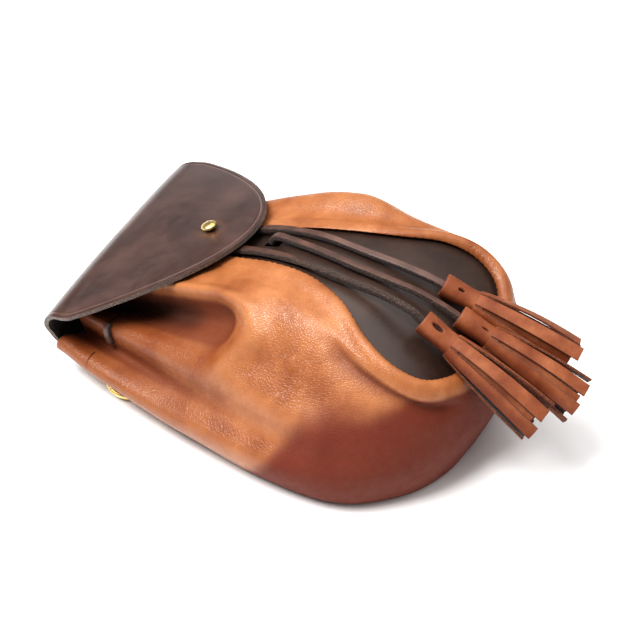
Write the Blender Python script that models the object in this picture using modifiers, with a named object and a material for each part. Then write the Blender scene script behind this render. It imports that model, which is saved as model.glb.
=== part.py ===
"""A soft leather sporran pouch lying on its back: +Z is its front, +Y its mouth, metres."""
import math

import bpy
import numpy as np
from mathutils import Vector

MM = 0.001

# Where the middle of the finished pouch lies in the coordinates used below. It becomes the origin.
MIDDLE = (-0.3 * MM, 6.05 * MM, 0)

# The pouch without its flap: bottom end to mouth, side to side, back to crest of the front panel.
POUCH_LENGTH = 250 * MM
POUCH_WIDTH = 180 * MM
PANEL_CREST = 88 * MM

# Leather thicknesses, and the gap that pieces which touch keep.
BODY_LEATHER = 1.8 * MM
PANEL_LEATHER = 2.6 * MM
FLAP_LEATHER = 2.6 * MM
KEEPER_LEATHER = 1.6 * MM
GAP = 0.3 * MM

# The rolled edge of the body leather, and the front panel under it.
ROLL_WIDTH = 9 * MM
ROLL_HEIGHT = 4 * MM
PANEL_TUCK = 4 * MM
PANEL_CROWN = 3 * MM

# The back leaves the surface towards the mouth, over the hanging rings.
BACK_LIFT = 16 * MM
BACK_RISE_FROM = 0.08
BACK_RISE_TO = 0.44
MOUTH_DIP = 10 * MM
MOUTH_DIP_ROWS = 2.5
MOUTH_DIP_SQUARENESS = 8
SIDE_LIFT = 0.6

# The flap, folded over the mouth: its front runs from the fold down to a rounded tip.
FLAP_HALF_WIDTH = 77 * MM
FLAP_TAIL_HALF_WIDTH = 50 * MM
FLAP_FRONT = 88 * MM
FLAP_SQUARE = 7 * MM
FLAP_ROUNDNESS = 1.15
FLAP_TAIL = 15 * MM
FLAP_FOLD_PAST_RIM = 11 * MM
FLAP_FOLD_RADIUS = 22.5 * MM
FLAP_SAG = 2 * MM
FLAP_SLOPE = math.radians(21)
FLAP_ARCH = 5 * MM
# The fold lies askew: its y grows by this much of x, less towards the tip and none at the tail.
FLAP_SKEW = 0.09
FLAP_STRAIGHTENS_FROM = 0.55
# How far the flap has narrowed towards its tail, by the share of the way round the fold.
FLAP_NARROWING = ((0, 0), (0.43, 0.15), (0.72, 0.37), (0.86, 1), (1, 1))

# The button stud, and the buttonhole in the flap.
STUD_FROM_TIP = 29 * MM
STUD_HEAD = 9 * MM
STUD_HEAD_HEIGHT = 4 * MM
STUD_NECK = 4 * MM
STUD_FOOT = 10 * MM
STUD_FOOT_THICKNESS = 1.2 * MM
BUTTON_SLIT = 8 * MM
BUTTON_SLIT_WIDTH = 1.2 * MM
PANEL_SLOT_LENGTH = 9 * MM

# Laces, and the tassels on three of them.
LACE = 4 * MM
TASSEL_HEAD_LENGTH = 23 * MM
TASSEL_HEAD_WIDTH = 13.6 * MM
TASSEL_FLARE = 1.5 * MM
# The head's outline, as shares of its radius and of its length.
TASSEL_HEAD_SHAPE = ((0.93, 0), (1, 0.06), (0.93, 0.45), (0.90, 0.70), (1, 1))
STRIP_START = 0.70 * TASSEL_HEAD_LENGTH
STRIP_WIDTH = 4.8 * MM
STRIP_LEATHER = 1.7 * MM
OUTER_STRIPS = 7
INNER_STRIPS = 4
INNER_STRIP_SHARE = 0.97
STRIP_STEPS = 4

# The hanging rings, and the leather loops that keep them.
RING_WIDTH = 26 * MM
RING_DEPTH = 18 * MM
RING_WIRE = 3 * MM
RING_Y = 72 * MM
KEEPER_WIDTH = 16 * MM
KEEPER_LENGTH = 26 * MM
RING_BAR_X = 57 * MM
RING_DROOP = math.radians(5)
KEEPER_PINCH = 1.6

# Sections of the side leather, from the mouth round to the middle of the bottom end.
# rim_x and the three distances out are shares of half the width, rim_y is a share of the length,
# heights are shares of the crest, roll is a share of the roll's height. heading is the way out
# from the rim in degrees, 0 sideways and 90 to the bottom end.
SECTION_COLUMNS = (
    "rim_x", "rim_y", "rim_z", "roll", "heading",
    "shoulder_out", "shoulder_z", "side_out", "side_z", "foot_out",
)
SECTIONS = (
    (0.133, 0.368, 0.52, 0.2, -20, 0.29, 0.53, 0.62, 0.17, 0.560),
    (0.133, 0.296, 0.65, 0.2, -15, 0.31, 0.625, 0.67, 0.19, 0.600),
    (0.139, 0.208, 0.765, 0.2, -10, 0.33, 0.725, 0.71, 0.22, 0.640),
    (0.156, 0.112, 0.855, 0.2, -5, 0.36, 0.83, 0.75, 0.26, 0.670),
    (0.189, 0.016, 0.95, 0.2, 0, 0.38, 0.92, 0.77, 0.29, 0.680),
    (0.239, -0.080, 1.00, 0.3, 4, 0.37, 0.94, 0.760, 0.30, 0.665),
    (0.333, -0.170, 0.995, 0.5, 6, 0.31, 0.91, 0.67, 0.31, 0.570),
    (0.477, -0.252, 0.94, 0.8, 13, 0.212, 0.83, 0.487, 0.32, 0.377),
    (0.529, -0.320, 0.86, 1.0, 26, 0.150, 0.75, 0.310, 0.33, 0.195),
    (0.473, -0.378, 0.77, 1.0, 41, 0.130, 0.67, 0.205, 0.33, 0.085),
    (0.304, -0.411, 0.70, 1.0, 57, 0.136, 0.60, 0.161, 0.33, 0.051),
    (0.135, -0.418, 0.67, 1.0, 74, 0.148, 0.57, 0.158, 0.33, 0.046),
    (0.000, -0.420, 0.66, 1.0, 90, 0.15, 0.56, 0.155, 0.33, 0.044),
)
LAST_SECTION = 2 * (len(SECTIONS) - 1)
FLAP_FOLD_Y = SECTIONS[0][1] * POUCH_LENGTH + FLAP_FOLD_PAST_RIM

# Folds of the side leather. Each follows a route of (section, share of the way down from the
# rim). Heights at the mouth and at the fold's end are shares of the fold's full height, negative
# for a valley, and width is a share of the way down. Far sections count back from LAST_SECTION.
FOLD_HEIGHT = 12 * MM
FOLD_FADE_BELOW_ROLL = 0.12
FOLD_FADE_ABOVE_FOOT = 0.10
SECTION_STEP = 0.08 * POUCH_LENGTH
SIDE_DROP = 0.75 * POUCH_WIDTH
FOLD_COLUMNS = ("side", "at_mouth", "at_end", "width", "route")
FOLDS = (
    ("near", 0.45, 0.25, 0.048, ((0, 0.590), (3.4, 0.605), (6.4, 0.612))),
    ("near", -1.00, -0.25, 0.046, ((0, 0.672), (2.8, 0.664), (5.9, 0.655))),
    ("near", 0.60, 0.22, 0.080, ((0, 0.800), (3.0, 0.745), (6.2, 0.700))),
    ("near", -1.45, -1.00, 0.055, ((0, 0.515), (1.6, 0.512), (3.5, 0.500))),
    ("near", 0.40, 0.30, 0.036, ((1.7, 0.445), (3.3, 0.410), (4.2, 0.430), (4.5, 0.490), (4.1, 0.560))),
    ("near", 0.40, 0.20, 0.060, ((0, 0.430), (1.8, 0.425))),
    ("near", -0.30, -0.30, 0.070, ((6.6, 0.390), (8.0, 0.385), (9.4, 0.400))),
    ("far", 0.05, 0.50, 0.110, ((2.0, 0.420), (3.4, 0.400), (4.6, 0.390))),
    ("far", -0.90, -0.45, 0.060, ((0, 0.560), (3.2, 0.550))),
    ("far", 0.40, 0.20, 0.055, ((0, 0.640), (4.5, 0.650))),
    ("far", -0.90, -0.20, 0.050, ((0, 0.710), (5.2, 0.700))),
    ("far", 0.50, 0.20, 0.070, ((0, 0.820), (5.4, 0.760))),
)

# Shares of the way down at which the side leather's rows lie: close together over the folds.
ROLL_SHARE = 0.16
ROW_COUNTS = ((0.0, ROLL_SHARE, 5), (ROLL_SHARE, 0.38, 4), (0.38, 0.74, 12), (0.74, 1.0, 5))
COLUMN_COUNT = 49
BACK_SPANS = 8
SIDE_MARKS = 4

# Routes of the laces over the front panel, chosen by hand. The first runs of the outer two lie
# under the flap, and the centre one comes up through the slot in the panel.
NEAR_ROUTE_MM = (
    (-8.8, 66.0, 63.9), (-8.8, 50.0, 71.2), (-9.2, 34.0, 77.2), (-10.0, 18.0, 82.6),
    (-12.7, -2.0, 88.2), (-16.4, -20.0, 91.3), (-18.6, -41.0, 92.8), (-19.4, -58.0, 93.4),
    (-21.2, -75.4, 92.2), (-21.6, -83.0, 88.3),
)
CENTRE_ROUTE_MM = (
    (1.7, 17.6, 80.0), (1.7, 17.0, 83.6), (1.5, 13.0, 86.8), (0.0, 2.0, 88.6),
    (-3.4, -14.0, 91.9), (-6.2, -34.0, 93.2), (-5.6, -56.0, 91.4), (-4.0, -72.0, 89.0),
    (-2.5, -86.7, 83.9), (-2.0, -94.0, 80.8),
)
FAR_ROUTE_MM = (
    (8.8, 66.0, 63.9), (8.9, 50.0, 71.2), (9.6, 36.0, 76.6), (10.8, 22.0, 81.8),
    (11.2, 8.0, 85.8), (8.6, -12.0, 91.2), (6.5, -38.0, 92.8), (7.2, -56.0, 92.0),
    (8.8, -71.5, 89.1), (9.9, -78.9, 86.5),
)
LACES = (
    ("near", NEAR_ROUTE_MM, (-22.5, -150.8, 54.5)),
    ("centre", CENTRE_ROUTE_MM, (3.0, -161.0, 52.0)),
    ("far", FAR_ROUTE_MM, (21.0, -149.0, 60.0)),
)

# Where the drawcord bridges the pleats beside the mouth, as (section, share down), and how far
# it clears the smooth face.
DRAWCORD_CLEARANCE = 0.2 * MM
DRAWCORD_ENDS = (("near", (1.15, 0.592), (1.23, 0.640)), ("far", (1.15, 0.650), (1.30, 0.740)))


def curve_through(rows, at):
    """Rows of values, read at fractional row numbers along a smooth curve through them."""
    rows = np.asarray(rows, float)
    ends = np.concatenate([2 * rows[:1] - rows[1:2], rows, 2 * rows[-1:] - rows[-2:-1]])
    at = np.clip(np.asarray(at, float), 0, len(rows) - 1)
    first = np.minimum(at.astype(int), len(rows) - 2)
    t = (at - first)[..., None]
    a, b, c, d = (ends[first + k] for k in range(4))
    return b + t / 2 * (c - a + t * (2 * a - 5 * b + 4 * c - d + t * (3 * (b - c) + d - a)))


def whole_path():
    """The sections from the near side of the mouth, round the bottom end, to the far side."""
    heading = SECTION_COLUMNS.index("heading")
    near = np.array(SECTIONS, float)
    far = near[-2::-1].copy()
    near[:, 0] *= -1
    far[:, heading] = 180 - far[:, heading]
    return np.vstack([near, far])


PATH = whole_path()


def section(at):
    """The section's values at a fractional section number, by column name."""
    return dict(zip(SECTION_COLUMNS, np.moveaxis(curve_through(PATH, at), -1, 0)))


def back_height(y):
    """Height of the back's outer face, flat on the surface and rising to the mouth."""
    share = (y / POUCH_LENGTH - BACK_RISE_FROM) / (BACK_RISE_TO - BACK_RISE_FROM)
    share = np.clip(share, 0, 1)
    return BACK_LIFT * share * share * (3 - 2 * share)


def side_profile(s, foot_lift, down):
    """How far out and how high the side's outer face is, a share of the way down a section."""
    half = POUCH_WIDTH / 2
    lip = s["rim_z"] * PANEL_CREST + BODY_LEATHER + GAP
    share = np.clip(down / ROLL_SHARE, 0, 1)
    roll_out = ROLL_WIDTH * (1 - np.cos(share * math.pi)) / 2
    roll_z = lip + ROLL_HEIGHT * s["roll"] * np.sin(share * math.pi) - GAP * share
    marks = np.stack([
        np.stack([np.full_like(lip, ROLL_WIDTH), lip - GAP], -1),
        np.stack([s["shoulder_out"] * half, s["shoulder_z"] * PANEL_CREST], -1),
        np.stack([s["side_out"] * half, s["side_z"] * PANEL_CREST + foot_lift * SIDE_LIFT], -1),
        np.stack([s["foot_out"] * half, foot_lift], -1),
    ])
    run = np.clip((down - ROLL_SHARE) / (1 - ROLL_SHARE), 0, 1) * (SIDE_MARKS - 1)
    before = 2 * marks[:1] - marks[1:2]
    after = (2 * marks[-1:] - marks[-2:-1]) * (1, 0) + marks[-2:-1] * (0, 1)
    ends = np.concatenate([before, marks, after])
    first = np.minimum(run.astype(int), SIDE_MARKS - 2)
    t = (run - first)[..., None]
    a, b, c, d = (
        np.take_along_axis(ends, np.repeat((first + k)[None, ..., None], 2, -1), 0)[0]
        for k in range(4)
    )
    side = b + t / 2 * (c - a + t * (2 * a - 5 * b + 4 * c - d + t * (3 * (b - c) + d - a)))
    on_roll = down < ROLL_SHARE
    return np.where(on_roll, roll_out, side[..., 0]), np.where(on_roll, roll_z, side[..., 1])


def smooth_face(at, down):
    """Points of the side leather's outer face before its folds."""
    at, down = np.broadcast_arrays(np.asarray(at, float), np.asarray(down, float))
    s = section(at)
    heading = np.radians(s["heading"])
    out_way = np.stack([-np.cos(heading), -np.sin(heading)], -1)
    rim = np.stack([s["rim_x"] * POUCH_WIDTH / 2, s["rim_y"] * POUCH_LENGTH], -1)
    foot = rim + out_way * (s["foot_out"] * POUCH_WIDTH / 2)[..., None]
    out, z = side_profile(s, back_height(foot[..., 1]), down)
    return np.concatenate([rim + out_way * out[..., None], z[..., None]], -1)


def fold_offset(at, down):
    """How far the folds push the leather out, at each section number and share down."""
    total = np.zeros(np.broadcast(at, down).shape)
    for row in FOLDS:
        fold = dict(zip(FOLD_COLUMNS, row))
        here = at if fold["side"] == "near" else LAST_SECTION - at
        stops = np.array(fold["route"], float) * (SECTION_STEP, SIDE_DROP)
        spans = np.linalg.norm(np.diff(stops, axis=0), axis=1)
        nearest = np.full(total.shape, np.inf)
        along = np.zeros(total.shape)
        for k, span in enumerate(spans):
            way = (stops[k + 1] - stops[k]) / span
            dx = here * SECTION_STEP - stops[k][0]
            dy = down * SIDE_DROP - stops[k][1]
            run = np.clip(dx * way[0] + dy * way[1], 0, span)
            gap = np.hypot(dx - run * way[0], dy - run * way[1])
            along = np.where(gap < nearest, spans[:k].sum() + run, along)
            nearest = np.minimum(gap, nearest)
        height = fold["at_mouth"] + (fold["at_end"] - fold["at_mouth"]) * along / spans.sum()
        total += FOLD_HEIGHT * height * np.exp(-((nearest / (fold["width"] * SIDE_DROP)) ** 2))
    return total


def outer_face(at, down):
    """Points of the side leather's outer face with its folds."""
    step = 0.01
    base = smooth_face(at, down)
    along = smooth_face(at + step, down) - smooth_face(at - step, down)
    across = smooth_face(at, np.minimum(down + step, 1)) - smooth_face(at, np.maximum(down - step, 0))
    normal = np.cross(across, along)
    normal /= np.linalg.norm(normal, axis=-1, keepdims=True)
    fade = np.clip((down - ROLL_SHARE) / FOLD_FADE_BELOW_ROLL, 0, 1)
    fade = fade * np.clip((1 - down) / FOLD_FADE_ABOVE_FOOT, 0, 1)
    return base + normal * (fold_offset(at, down) * fade)[..., None]


def panel_height(x, y):
    """Height of the front panel's top face, crowned between its edges."""
    s = section(np.linspace(0, len(SECTIONS) - 1, 121))
    order = np.argsort(s["rim_y"])
    rim_z = np.interp(y / POUCH_LENGTH, s["rim_y"][order], s["rim_z"][order]) * PANEL_CREST
    rim_x = np.interp(y / POUCH_LENGTH, s["rim_y"][order], -s["rim_x"][order]) * POUCH_WIDTH / 2
    widest = -PATH[:, 0].min() * POUCH_WIDTH / 2
    share = np.clip(1 - (x / np.maximum(rim_x, GAP)) ** 2, 0, 1)
    return rim_z + PANEL_CROWN * rim_x / widest * share


def flap_profile(run):
    """(y, z) of the flap's outer face: run is the distance from the top of the fold to the tip,
    negative back round the fold and on along the tail."""
    bottom = back_height(FLAP_FOLD_Y) - GAP - FLAP_LEATHER - FLAP_SAG
    tail_end = back_height(FLAP_FOLD_Y - FLAP_TAIL) - GAP - FLAP_LEATHER
    centre_z = bottom + FLAP_FOLD_RADIUS
    top_angle = math.pi / 2 - FLAP_SLOPE
    arc = FLAP_FOLD_RADIUS * (top_angle + math.pi / 2)
    angle = top_angle + np.clip(run, -arc, 0) / FLAP_FOLD_RADIUS
    front = np.maximum(run, 0)
    tail = np.minimum(run + arc, 0)
    y = FLAP_FOLD_Y + FLAP_FOLD_RADIUS * np.cos(angle) - front * math.cos(FLAP_SLOPE) + tail
    z = centre_z + FLAP_FOLD_RADIUS * np.sin(angle) + front * math.sin(FLAP_SLOPE)
    return y, z - (tail_end - bottom) * tail / FLAP_TAIL


def lace_points(route_mm, spacing):
    """Points a spacing apart along a smooth curve through a route given in millimetres."""
    fine = curve_through(np.array(route_mm) * MM, np.linspace(0, len(route_mm) - 1, 401))
    run = np.concatenate([[0], np.cumsum(np.linalg.norm(np.diff(fine, axis=0), axis=1))])
    marks = np.linspace(0, run[-1], max(2, round(run[-1] / spacing)) + 1)
    return np.stack([np.interp(marks, run, fine[:, k]) for k in range(3)], -1)


def material(name, colour, roughness, metallic=0.0):
    finish = bpy.data.materials.new(name)
    finish.use_nodes = True
    shader = finish.node_tree.nodes["Principled BSDF"]
    shader.inputs["Base Color"].default_value = (*colour, 1)
    shader.inputs["Roughness"].default_value = roughness
    shader.inputs["Metallic"].default_value = metallic
    return finish


def new_object(name, data, collection, finish=None):
    made = bpy.data.objects.new(name, data)
    collection.objects.link(made)
    if finish:
        data.materials.append(finish)
    return made


def mesh_object(name, points, faces, collection, finish=None):
    mesh = bpy.data.meshes.new(name)
    mesh.from_pydata([tuple(p) for p in np.asarray(points, float)], [], [tuple(f) for f in faces])
    mesh.update()
    return new_object(name, mesh, collection, finish)


def shade(made):
    made.data.shade_smooth()
    made.data.set_sharp_from_angle(angle=math.radians(40))


def leather(made, thickness):
    """Give an open outer face its leather, on the side away from its normals."""
    skin = made.modifiers.new("leather", "SOLIDIFY")
    skin.thickness = thickness
    skin.offset = -1
    skin.use_even_offset = True


def boolean(made, cutter, operation="DIFFERENCE"):
    cut = made.modifiers.new(cutter.name, "BOOLEAN")
    cut.operation = operation
    cut.solver = "EXACT"
    cut.object = cutter
    cut.use_self = operation == "UNION"
    cutter.hide_render = True
    cutter.display_type = "WIRE"


def quads(index):
    """Faces over a grid of vertex numbers, facing the cross of its second and first ways."""
    a, b, c, d = index[:-1, :-1], index[:-1, 1:], index[1:, 1:], index[1:, :-1]
    return np.stack([a, b, c, d], -1).reshape(-1, 4).tolist()


def side_rows():
    spans = [np.linspace(start, end, count, endpoint=False) for start, end, count in ROW_COUNTS]
    return np.concatenate(spans + [[1.0]])


def pouch_body(collection, finish):
    at = np.linspace(0, LAST_SECTION, COLUMN_COUNT)[:, None]
    side = outer_face(at, side_rows()[None])
    index = np.arange(side.shape[0] * side.shape[1]).reshape(side.shape[:2])
    points = list(side.reshape(-1, 3))
    faces = quads(index)

    middle = COLUMN_COUNT // 2
    back = np.zeros((middle, BACK_SPANS + 1), int)
    for i in range(middle):
        near, far = side[i, -1], side[-1 - i, -1]
        back[i, 0], back[i, -1] = index[i, -1], index[-1 - i, -1]
        dip = MOUTH_DIP * max(0, 1 - i / MOUTH_DIP_ROWS)
        for k in range(1, BACK_SPANS):
            x, y = (near + (far - near) * k / BACK_SPANS)[:2]
            y -= dip * (1 - (2 * k / BACK_SPANS - 1) ** MOUTH_DIP_SQUARENESS)
            back[i, k] = len(points)
            points.append((x, y, back_height(y)))
    faces += quads(back)
    faces += [(back[-1, k], back[-1, k + 1], index[middle, -1]) for k in range(BACK_SPANS)]

    body = mesh_object("pouch_body", points, faces, collection, finish)
    leather(body, BODY_LEATHER)
    shade(body)


def front_panel(collection, cutters, finish):
    half_count = COLUMN_COUNT // 2
    at = np.linspace(0, LAST_SECTION, COLUMN_COUNT)
    s = section(at)
    heading = np.radians(s["heading"])
    rim = np.stack([
        s["rim_x"] * POUCH_WIDTH / 2, s["rim_y"] * POUCH_LENGTH, s["rim_z"] * PANEL_CREST,
    ], -1)
    out_way = np.stack([-np.cos(heading), -np.sin(heading), np.zeros_like(heading)], -1)
    edge = rim + out_way * PANEL_TUCK
    points = list(rim) + list(edge)
    ring = np.arange(2 * COLUMN_COUNT).reshape(2, COLUMN_COUNT).T
    faces = quads(ring)

    spans = 5
    inside = np.zeros((half_count, spans + 1), int)
    for i in range(half_count):
        inside[i, 0], inside[i, -1] = i, COLUMN_COUNT - 1 - i
        for k in range(1, spans):
            x = rim[i, 0] * (1 - 2 * k / spans)
            inside[i, k] = len(points)
            points.append((x, rim[i, 1], float(panel_height(x, rim[i, 1]))))
    faces += [face[::-1] for face in quads(inside)]
    faces += [(inside[-1, k + 1], inside[-1, k], half_count) for k in range(spans)]

    panel = mesh_object("front_panel", points, faces, collection, finish)
    leather(panel, PANEL_LEATHER)

    x, y, z = np.array(CENTRE_ROUTE_MM[0]) * MM
    bpy.ops.mesh.primitive_cube_add(size=1, location=(x, y + LACE / 2 - PANEL_SLOT_LENGTH / 3, z))
    slot = take_over("panel_slot_cutter", cutters)
    slot.scale = (LACE + 4 * GAP, PANEL_SLOT_LENGTH, 4 * PANEL_LEATHER)
    boolean(panel, slot)
    shade(panel)


def take_over(name, collection):
    """The object that an operator has just made, renamed and moved to its collection."""
    made = bpy.context.active_object
    for old in made.users_collection:
        old.objects.unlink(made)
    collection.objects.link(made)
    made.name = name
    return made


def flap_half_width(run):
    """Half the flap's width, a run from the top of the fold."""
    arc = FLAP_FOLD_RADIUS * (math.pi - FLAP_SLOPE)
    share = np.clip((run - FLAP_SQUARE) / (FLAP_FRONT - FLAP_SQUARE), 0, 1)
    narrowed = np.interp(-run / arc, *zip(*FLAP_NARROWING))
    tail = FLAP_HALF_WIDTH + (FLAP_TAIL_HALF_WIDTH - FLAP_HALF_WIDTH) * narrowed
    return np.where(run > 0, FLAP_HALF_WIDTH * np.sqrt(1 - share**FLAP_ROUNDNESS), tail)


def flap_point(run, across):
    """A point of the flap's outer face: across runs from -1 at the near edge to 1."""
    y, z = flap_profile(run)
    x = across * flap_half_width(run)
    arc = FLAP_FOLD_RADIUS * (math.pi - FLAP_SLOPE)
    arched = np.clip(1 + 2 * run / arc, 0, 1)
    askew = FLAP_SKEW * np.clip(1 - run / FLAP_FRONT, 0, 1) ** 2
    askew = askew * np.clip((1 + run / arc) / (1 - FLAP_STRAIGHTENS_FROM), 0, 1)
    return np.stack([x, y + askew * x, z - FLAP_ARCH * arched * (x / FLAP_HALF_WIDTH) ** 2], -1)


def flap(collection, cutters, finish):
    arc = FLAP_FOLD_RADIUS * (math.pi - FLAP_SLOPE)
    turn = np.linspace(0, math.pi / 2, 10)[1:-1]
    front = FLAP_SQUARE + (FLAP_FRONT - FLAP_SQUARE) * np.sin(turn) ** (2 / FLAP_ROUNDNESS)
    runs = np.concatenate([
        [-arc - FLAP_TAIL], np.linspace(-arc, 0, 9), [FLAP_SQUARE], front,
    ])
    spans = 10
    across = np.linspace(-1, 1, spans + 1)
    grid = flap_point(runs[:, None], across[None])
    index = np.arange(grid.shape[0] * grid.shape[1]).reshape(grid.shape[:2])
    tip = index.size
    points = list(grid.reshape(-1, 3)) + [flap_point(np.array(FLAP_FRONT), np.array(0.0))]
    faces = [face[::-1] for face in quads(index)]
    faces += [(index[-1, k + 1], index[-1, k], tip) for k in range(spans)]
    made = mesh_object("flap", points, faces, collection, finish)
    leather(made, FLAP_LEATHER)

    hole_run = FLAP_FRONT - STUD_FROM_TIP
    centre = Vector(flap_point(np.array(hole_run), np.array(0.0)))
    tilt = (-FLAP_SLOPE, 0, 0)
    bpy.ops.mesh.primitive_cylinder_add(
        vertices=16, radius=STUD_NECK / 2 + 2 * GAP, depth=4 * FLAP_LEATHER,
        location=centre, rotation=tilt,
    )
    boolean(made, take_over("buttonhole_cutter", cutters))
    slit_run = hole_run - (BUTTON_SLIT + STUD_NECK) / 2
    slit_centre = Vector(flap_point(np.array(slit_run), np.array(0.0)))
    bpy.ops.mesh.primitive_cube_add(size=1, location=slit_centre, rotation=tilt)
    slit = take_over("button_slit_cutter", cutters)
    slit.scale = (BUTTON_SLIT_WIDTH, BUTTON_SLIT, 4 * FLAP_LEATHER)
    boolean(made, slit)
    shade(made)


def button_stud(collection, finish):
    """A turned stud whose foot lies on the front panel and whose head stands over the flap."""
    hole = flap_point(np.array(FLAP_FRONT - STUD_FROM_TIP), np.array(0.0))
    up = np.array([0, math.sin(FLAP_SLOPE), math.cos(FLAP_SLOPE)])
    depths = np.linspace(0, FLAP_FOLD_RADIUS, 441)
    below = hole - up * depths[:, None]
    reached = below[:, 2] > panel_height(below[:, 0], below[:, 1])
    height = depths[reached].max() - GAP
    head_base = height + GAP
    profile = [(0, head_base + STUD_HEAD_HEIGHT)]
    for degrees in (30, 60, 90, 130):
        turn = math.radians(degrees)
        profile.append((
            STUD_HEAD / 2 * math.sin(turn),
            head_base + STUD_HEAD_HEIGHT * (1 + math.cos(turn)) / 2,
        ))
    profile += [
        (STUD_NECK / 2, head_base), (STUD_NECK / 2, STUD_FOOT_THICKNESS),
        (STUD_FOOT / 2, STUD_FOOT_THICKNESS), (STUD_FOOT / 2, 0), (0, 0),
    ]
    stud = turned("button_stud", profile, 16, collection, finish)
    stud.location = hole - up * height
    stud.rotation_euler = (-FLAP_SLOPE, 0, 0)


def turned(name, profile, sides, collection, finish=None):
    """A solid turned round Z from (radius, height) pairs that run down its outer side."""
    edges = [(k, k + 1) for k in range(len(profile) - 1)]
    mesh = bpy.data.meshes.new(name)
    mesh.from_pydata([(radius, 0, height) for radius, height in profile], edges, [])
    made = new_object(name, mesh, collection, finish)
    screw = made.modifiers.new("turn", "SCREW")
    screw.steps = screw.render_steps = sides
    screw.use_merge_vertices = True
    screw.merge_threshold = 1e-5
    screw.use_smooth_shade = True
    return made


def lace(name, points, collection, finish, diameter=LACE, cyclic=False):
    curve = bpy.data.curves.new(name, "CURVE")
    curve.dimensions = "3D"
    curve.bevel_depth = diameter / 2
    curve.bevel_resolution = 2
    curve.use_fill_caps = not cyclic
    line = curve.splines.new("POLY")
    line.points.add(len(points) - 1)
    for point, place in zip(line.points, points):
        point.co = (*place, 1)
    line.use_cyclic_u = cyclic
    return new_object(name, curve, collection, finish)


def strips(name, length, down, cutters):
    """A tassel's strips below the head, an outer ring and an inner one, drooping along down."""
    points, faces = [], []
    outer = (TASSEL_HEAD_WIDTH - STRIP_LEATHER) / 2 - GAP
    rings = (
        (OUTER_STRIPS, outer, TASSEL_FLARE, 1.00),
        (INNER_STRIPS, outer - STRIP_LEATHER - GAP, TASSEL_FLARE / 2, INNER_STRIP_SHARE),
    )
    for count, radius, flare, share in rings:
        for k in range(count):
            angle = math.tau * (k + 0.5 * (count == INNER_STRIPS)) / count
            out = np.array([math.cos(angle), math.sin(angle), 0])
            side = np.array([-math.sin(angle), math.cos(angle), 0])
            first = len(points)
            for step in range(STRIP_STEPS + 1):
                t = step / STRIP_STEPS
                z = -STRIP_START - t * (length * share - STRIP_START)
                centre = out * (radius + flare * t) + np.array([0, 0, z])
                centre = centre + down * TASSEL_FLARE * t * t
                across = side * STRIP_WIDTH / 2
                through = out * STRIP_LEATHER / 2
                points += [centre - across - through, centre + across - through,
                           centre + across + through, centre - across + through]
            for step in range(STRIP_STEPS):
                a = first + 4 * step
                faces += [(a + k, a + 4 + k, a + 4 + (k + 1) % 4, a + (k + 1) % 4) for k in range(4)]
            last = first + 4 * STRIP_STEPS
            faces += [(first, first + 1, first + 2, first + 3), (last + 3, last + 2, last + 1, last)]
    return mesh_object(name, points, faces, cutters)


def tassel(name, start, end, collection, cutters, finish):
    """A rolled head that narrows below its top, with its strips fused into it."""
    way = Vector(end) - Vector(start)
    frame = (-way).to_track_quat("Z", "X")
    radius = TASSEL_HEAD_WIDTH / 2
    profile = [(0, 0)]
    profile += [(radius * out, -TASSEL_HEAD_LENGTH * along) for out, along in TASSEL_HEAD_SHAPE]
    profile.append((0, -TASSEL_HEAD_LENGTH))
    made = turned(name, profile, 12, collection, finish)
    down = np.array(frame.inverted() @ Vector((0, 0, -1)))
    down[2] = 0
    cut = strips(f"{name}_strips", way.length, down, cutters)
    for piece in (made, cut):
        piece.location = start
        piece.rotation_euler = frame.to_euler()
    boolean(made, cut, "UNION")


def outer_normal(at, down, step):
    """Outward directions of the folded face, smoothed over a step either way."""
    along = outer_face(at + step, down) - outer_face(at - step, down)
    across = outer_face(at, down + step) - outer_face(at, down - step)
    normal = np.cross(across, along)
    return normal / np.linalg.norm(normal, axis=-1, keepdims=True)


def drawcord(side, first, last, collection, finish):
    """The lace that bridges the pleats on one side of the mouth, from ridge to ridge."""
    share = np.linspace(0, 1, 8)[:, None]
    marks = np.array(first) + (np.array(last) - np.array(first)) * share
    at = marks[:, 0] if side == "near" else LAST_SECTION - marks[:, 0]
    lying = outer_face(at, marks[:, 1])
    lying += outer_normal(at, marks[:, 1], 0.02) * (LACE / 2 + DRAWCORD_CLEARANCE)
    taut = lying[0] + (lying[-1] - lying[0]) * share
    away = outer_normal(at, marks[:, 1], 0.1).mean(0)
    over = (lying - taut) @ away > 0
    lace(f"drawcord_{side}", np.where(over[:, None], lying, taut), collection, finish)


def ring_frame(side):
    """Place and turn of a ring and its keeper: local X points out, Z away from the back."""
    slope = (back_height(RING_Y + MM) - back_height(RING_Y - MM)) / (2 * MM)
    place = Vector((side * RING_BAR_X, RING_Y, float(back_height(RING_Y))))
    return place, math.atan(slope)


def d_ring(name, side, collection, finish):
    place, tilt = ring_frame(side)
    half = (RING_WIDTH - RING_WIRE) / 2
    depth = RING_DEPTH - RING_WIRE / 2
    bend = min(half, depth)
    points = []
    for k in range(12):
        turn = math.pi * k / 11 - math.pi / 2
        points.append((depth - bend + bend * math.cos(turn), half * math.sin(turn)))
    points += [(0, half - RING_WIRE / 4), (0, 0), (0, RING_WIRE / 4 - half)]
    drop = GAP + KEEPER_LEATHER + GAP + RING_WIRE / 2
    placed = []
    for out, along in points:
        x = out * math.cos(RING_DROOP)
        z = -drop - out * math.sin(RING_DROOP)
        placed.append(place + Vector((
            side * x, along * math.cos(tilt) - z * math.sin(tilt),
            along * math.sin(tilt) + z * math.cos(tilt),
        )))
    lace(name, placed, collection, finish, RING_WIRE, True)


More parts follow.
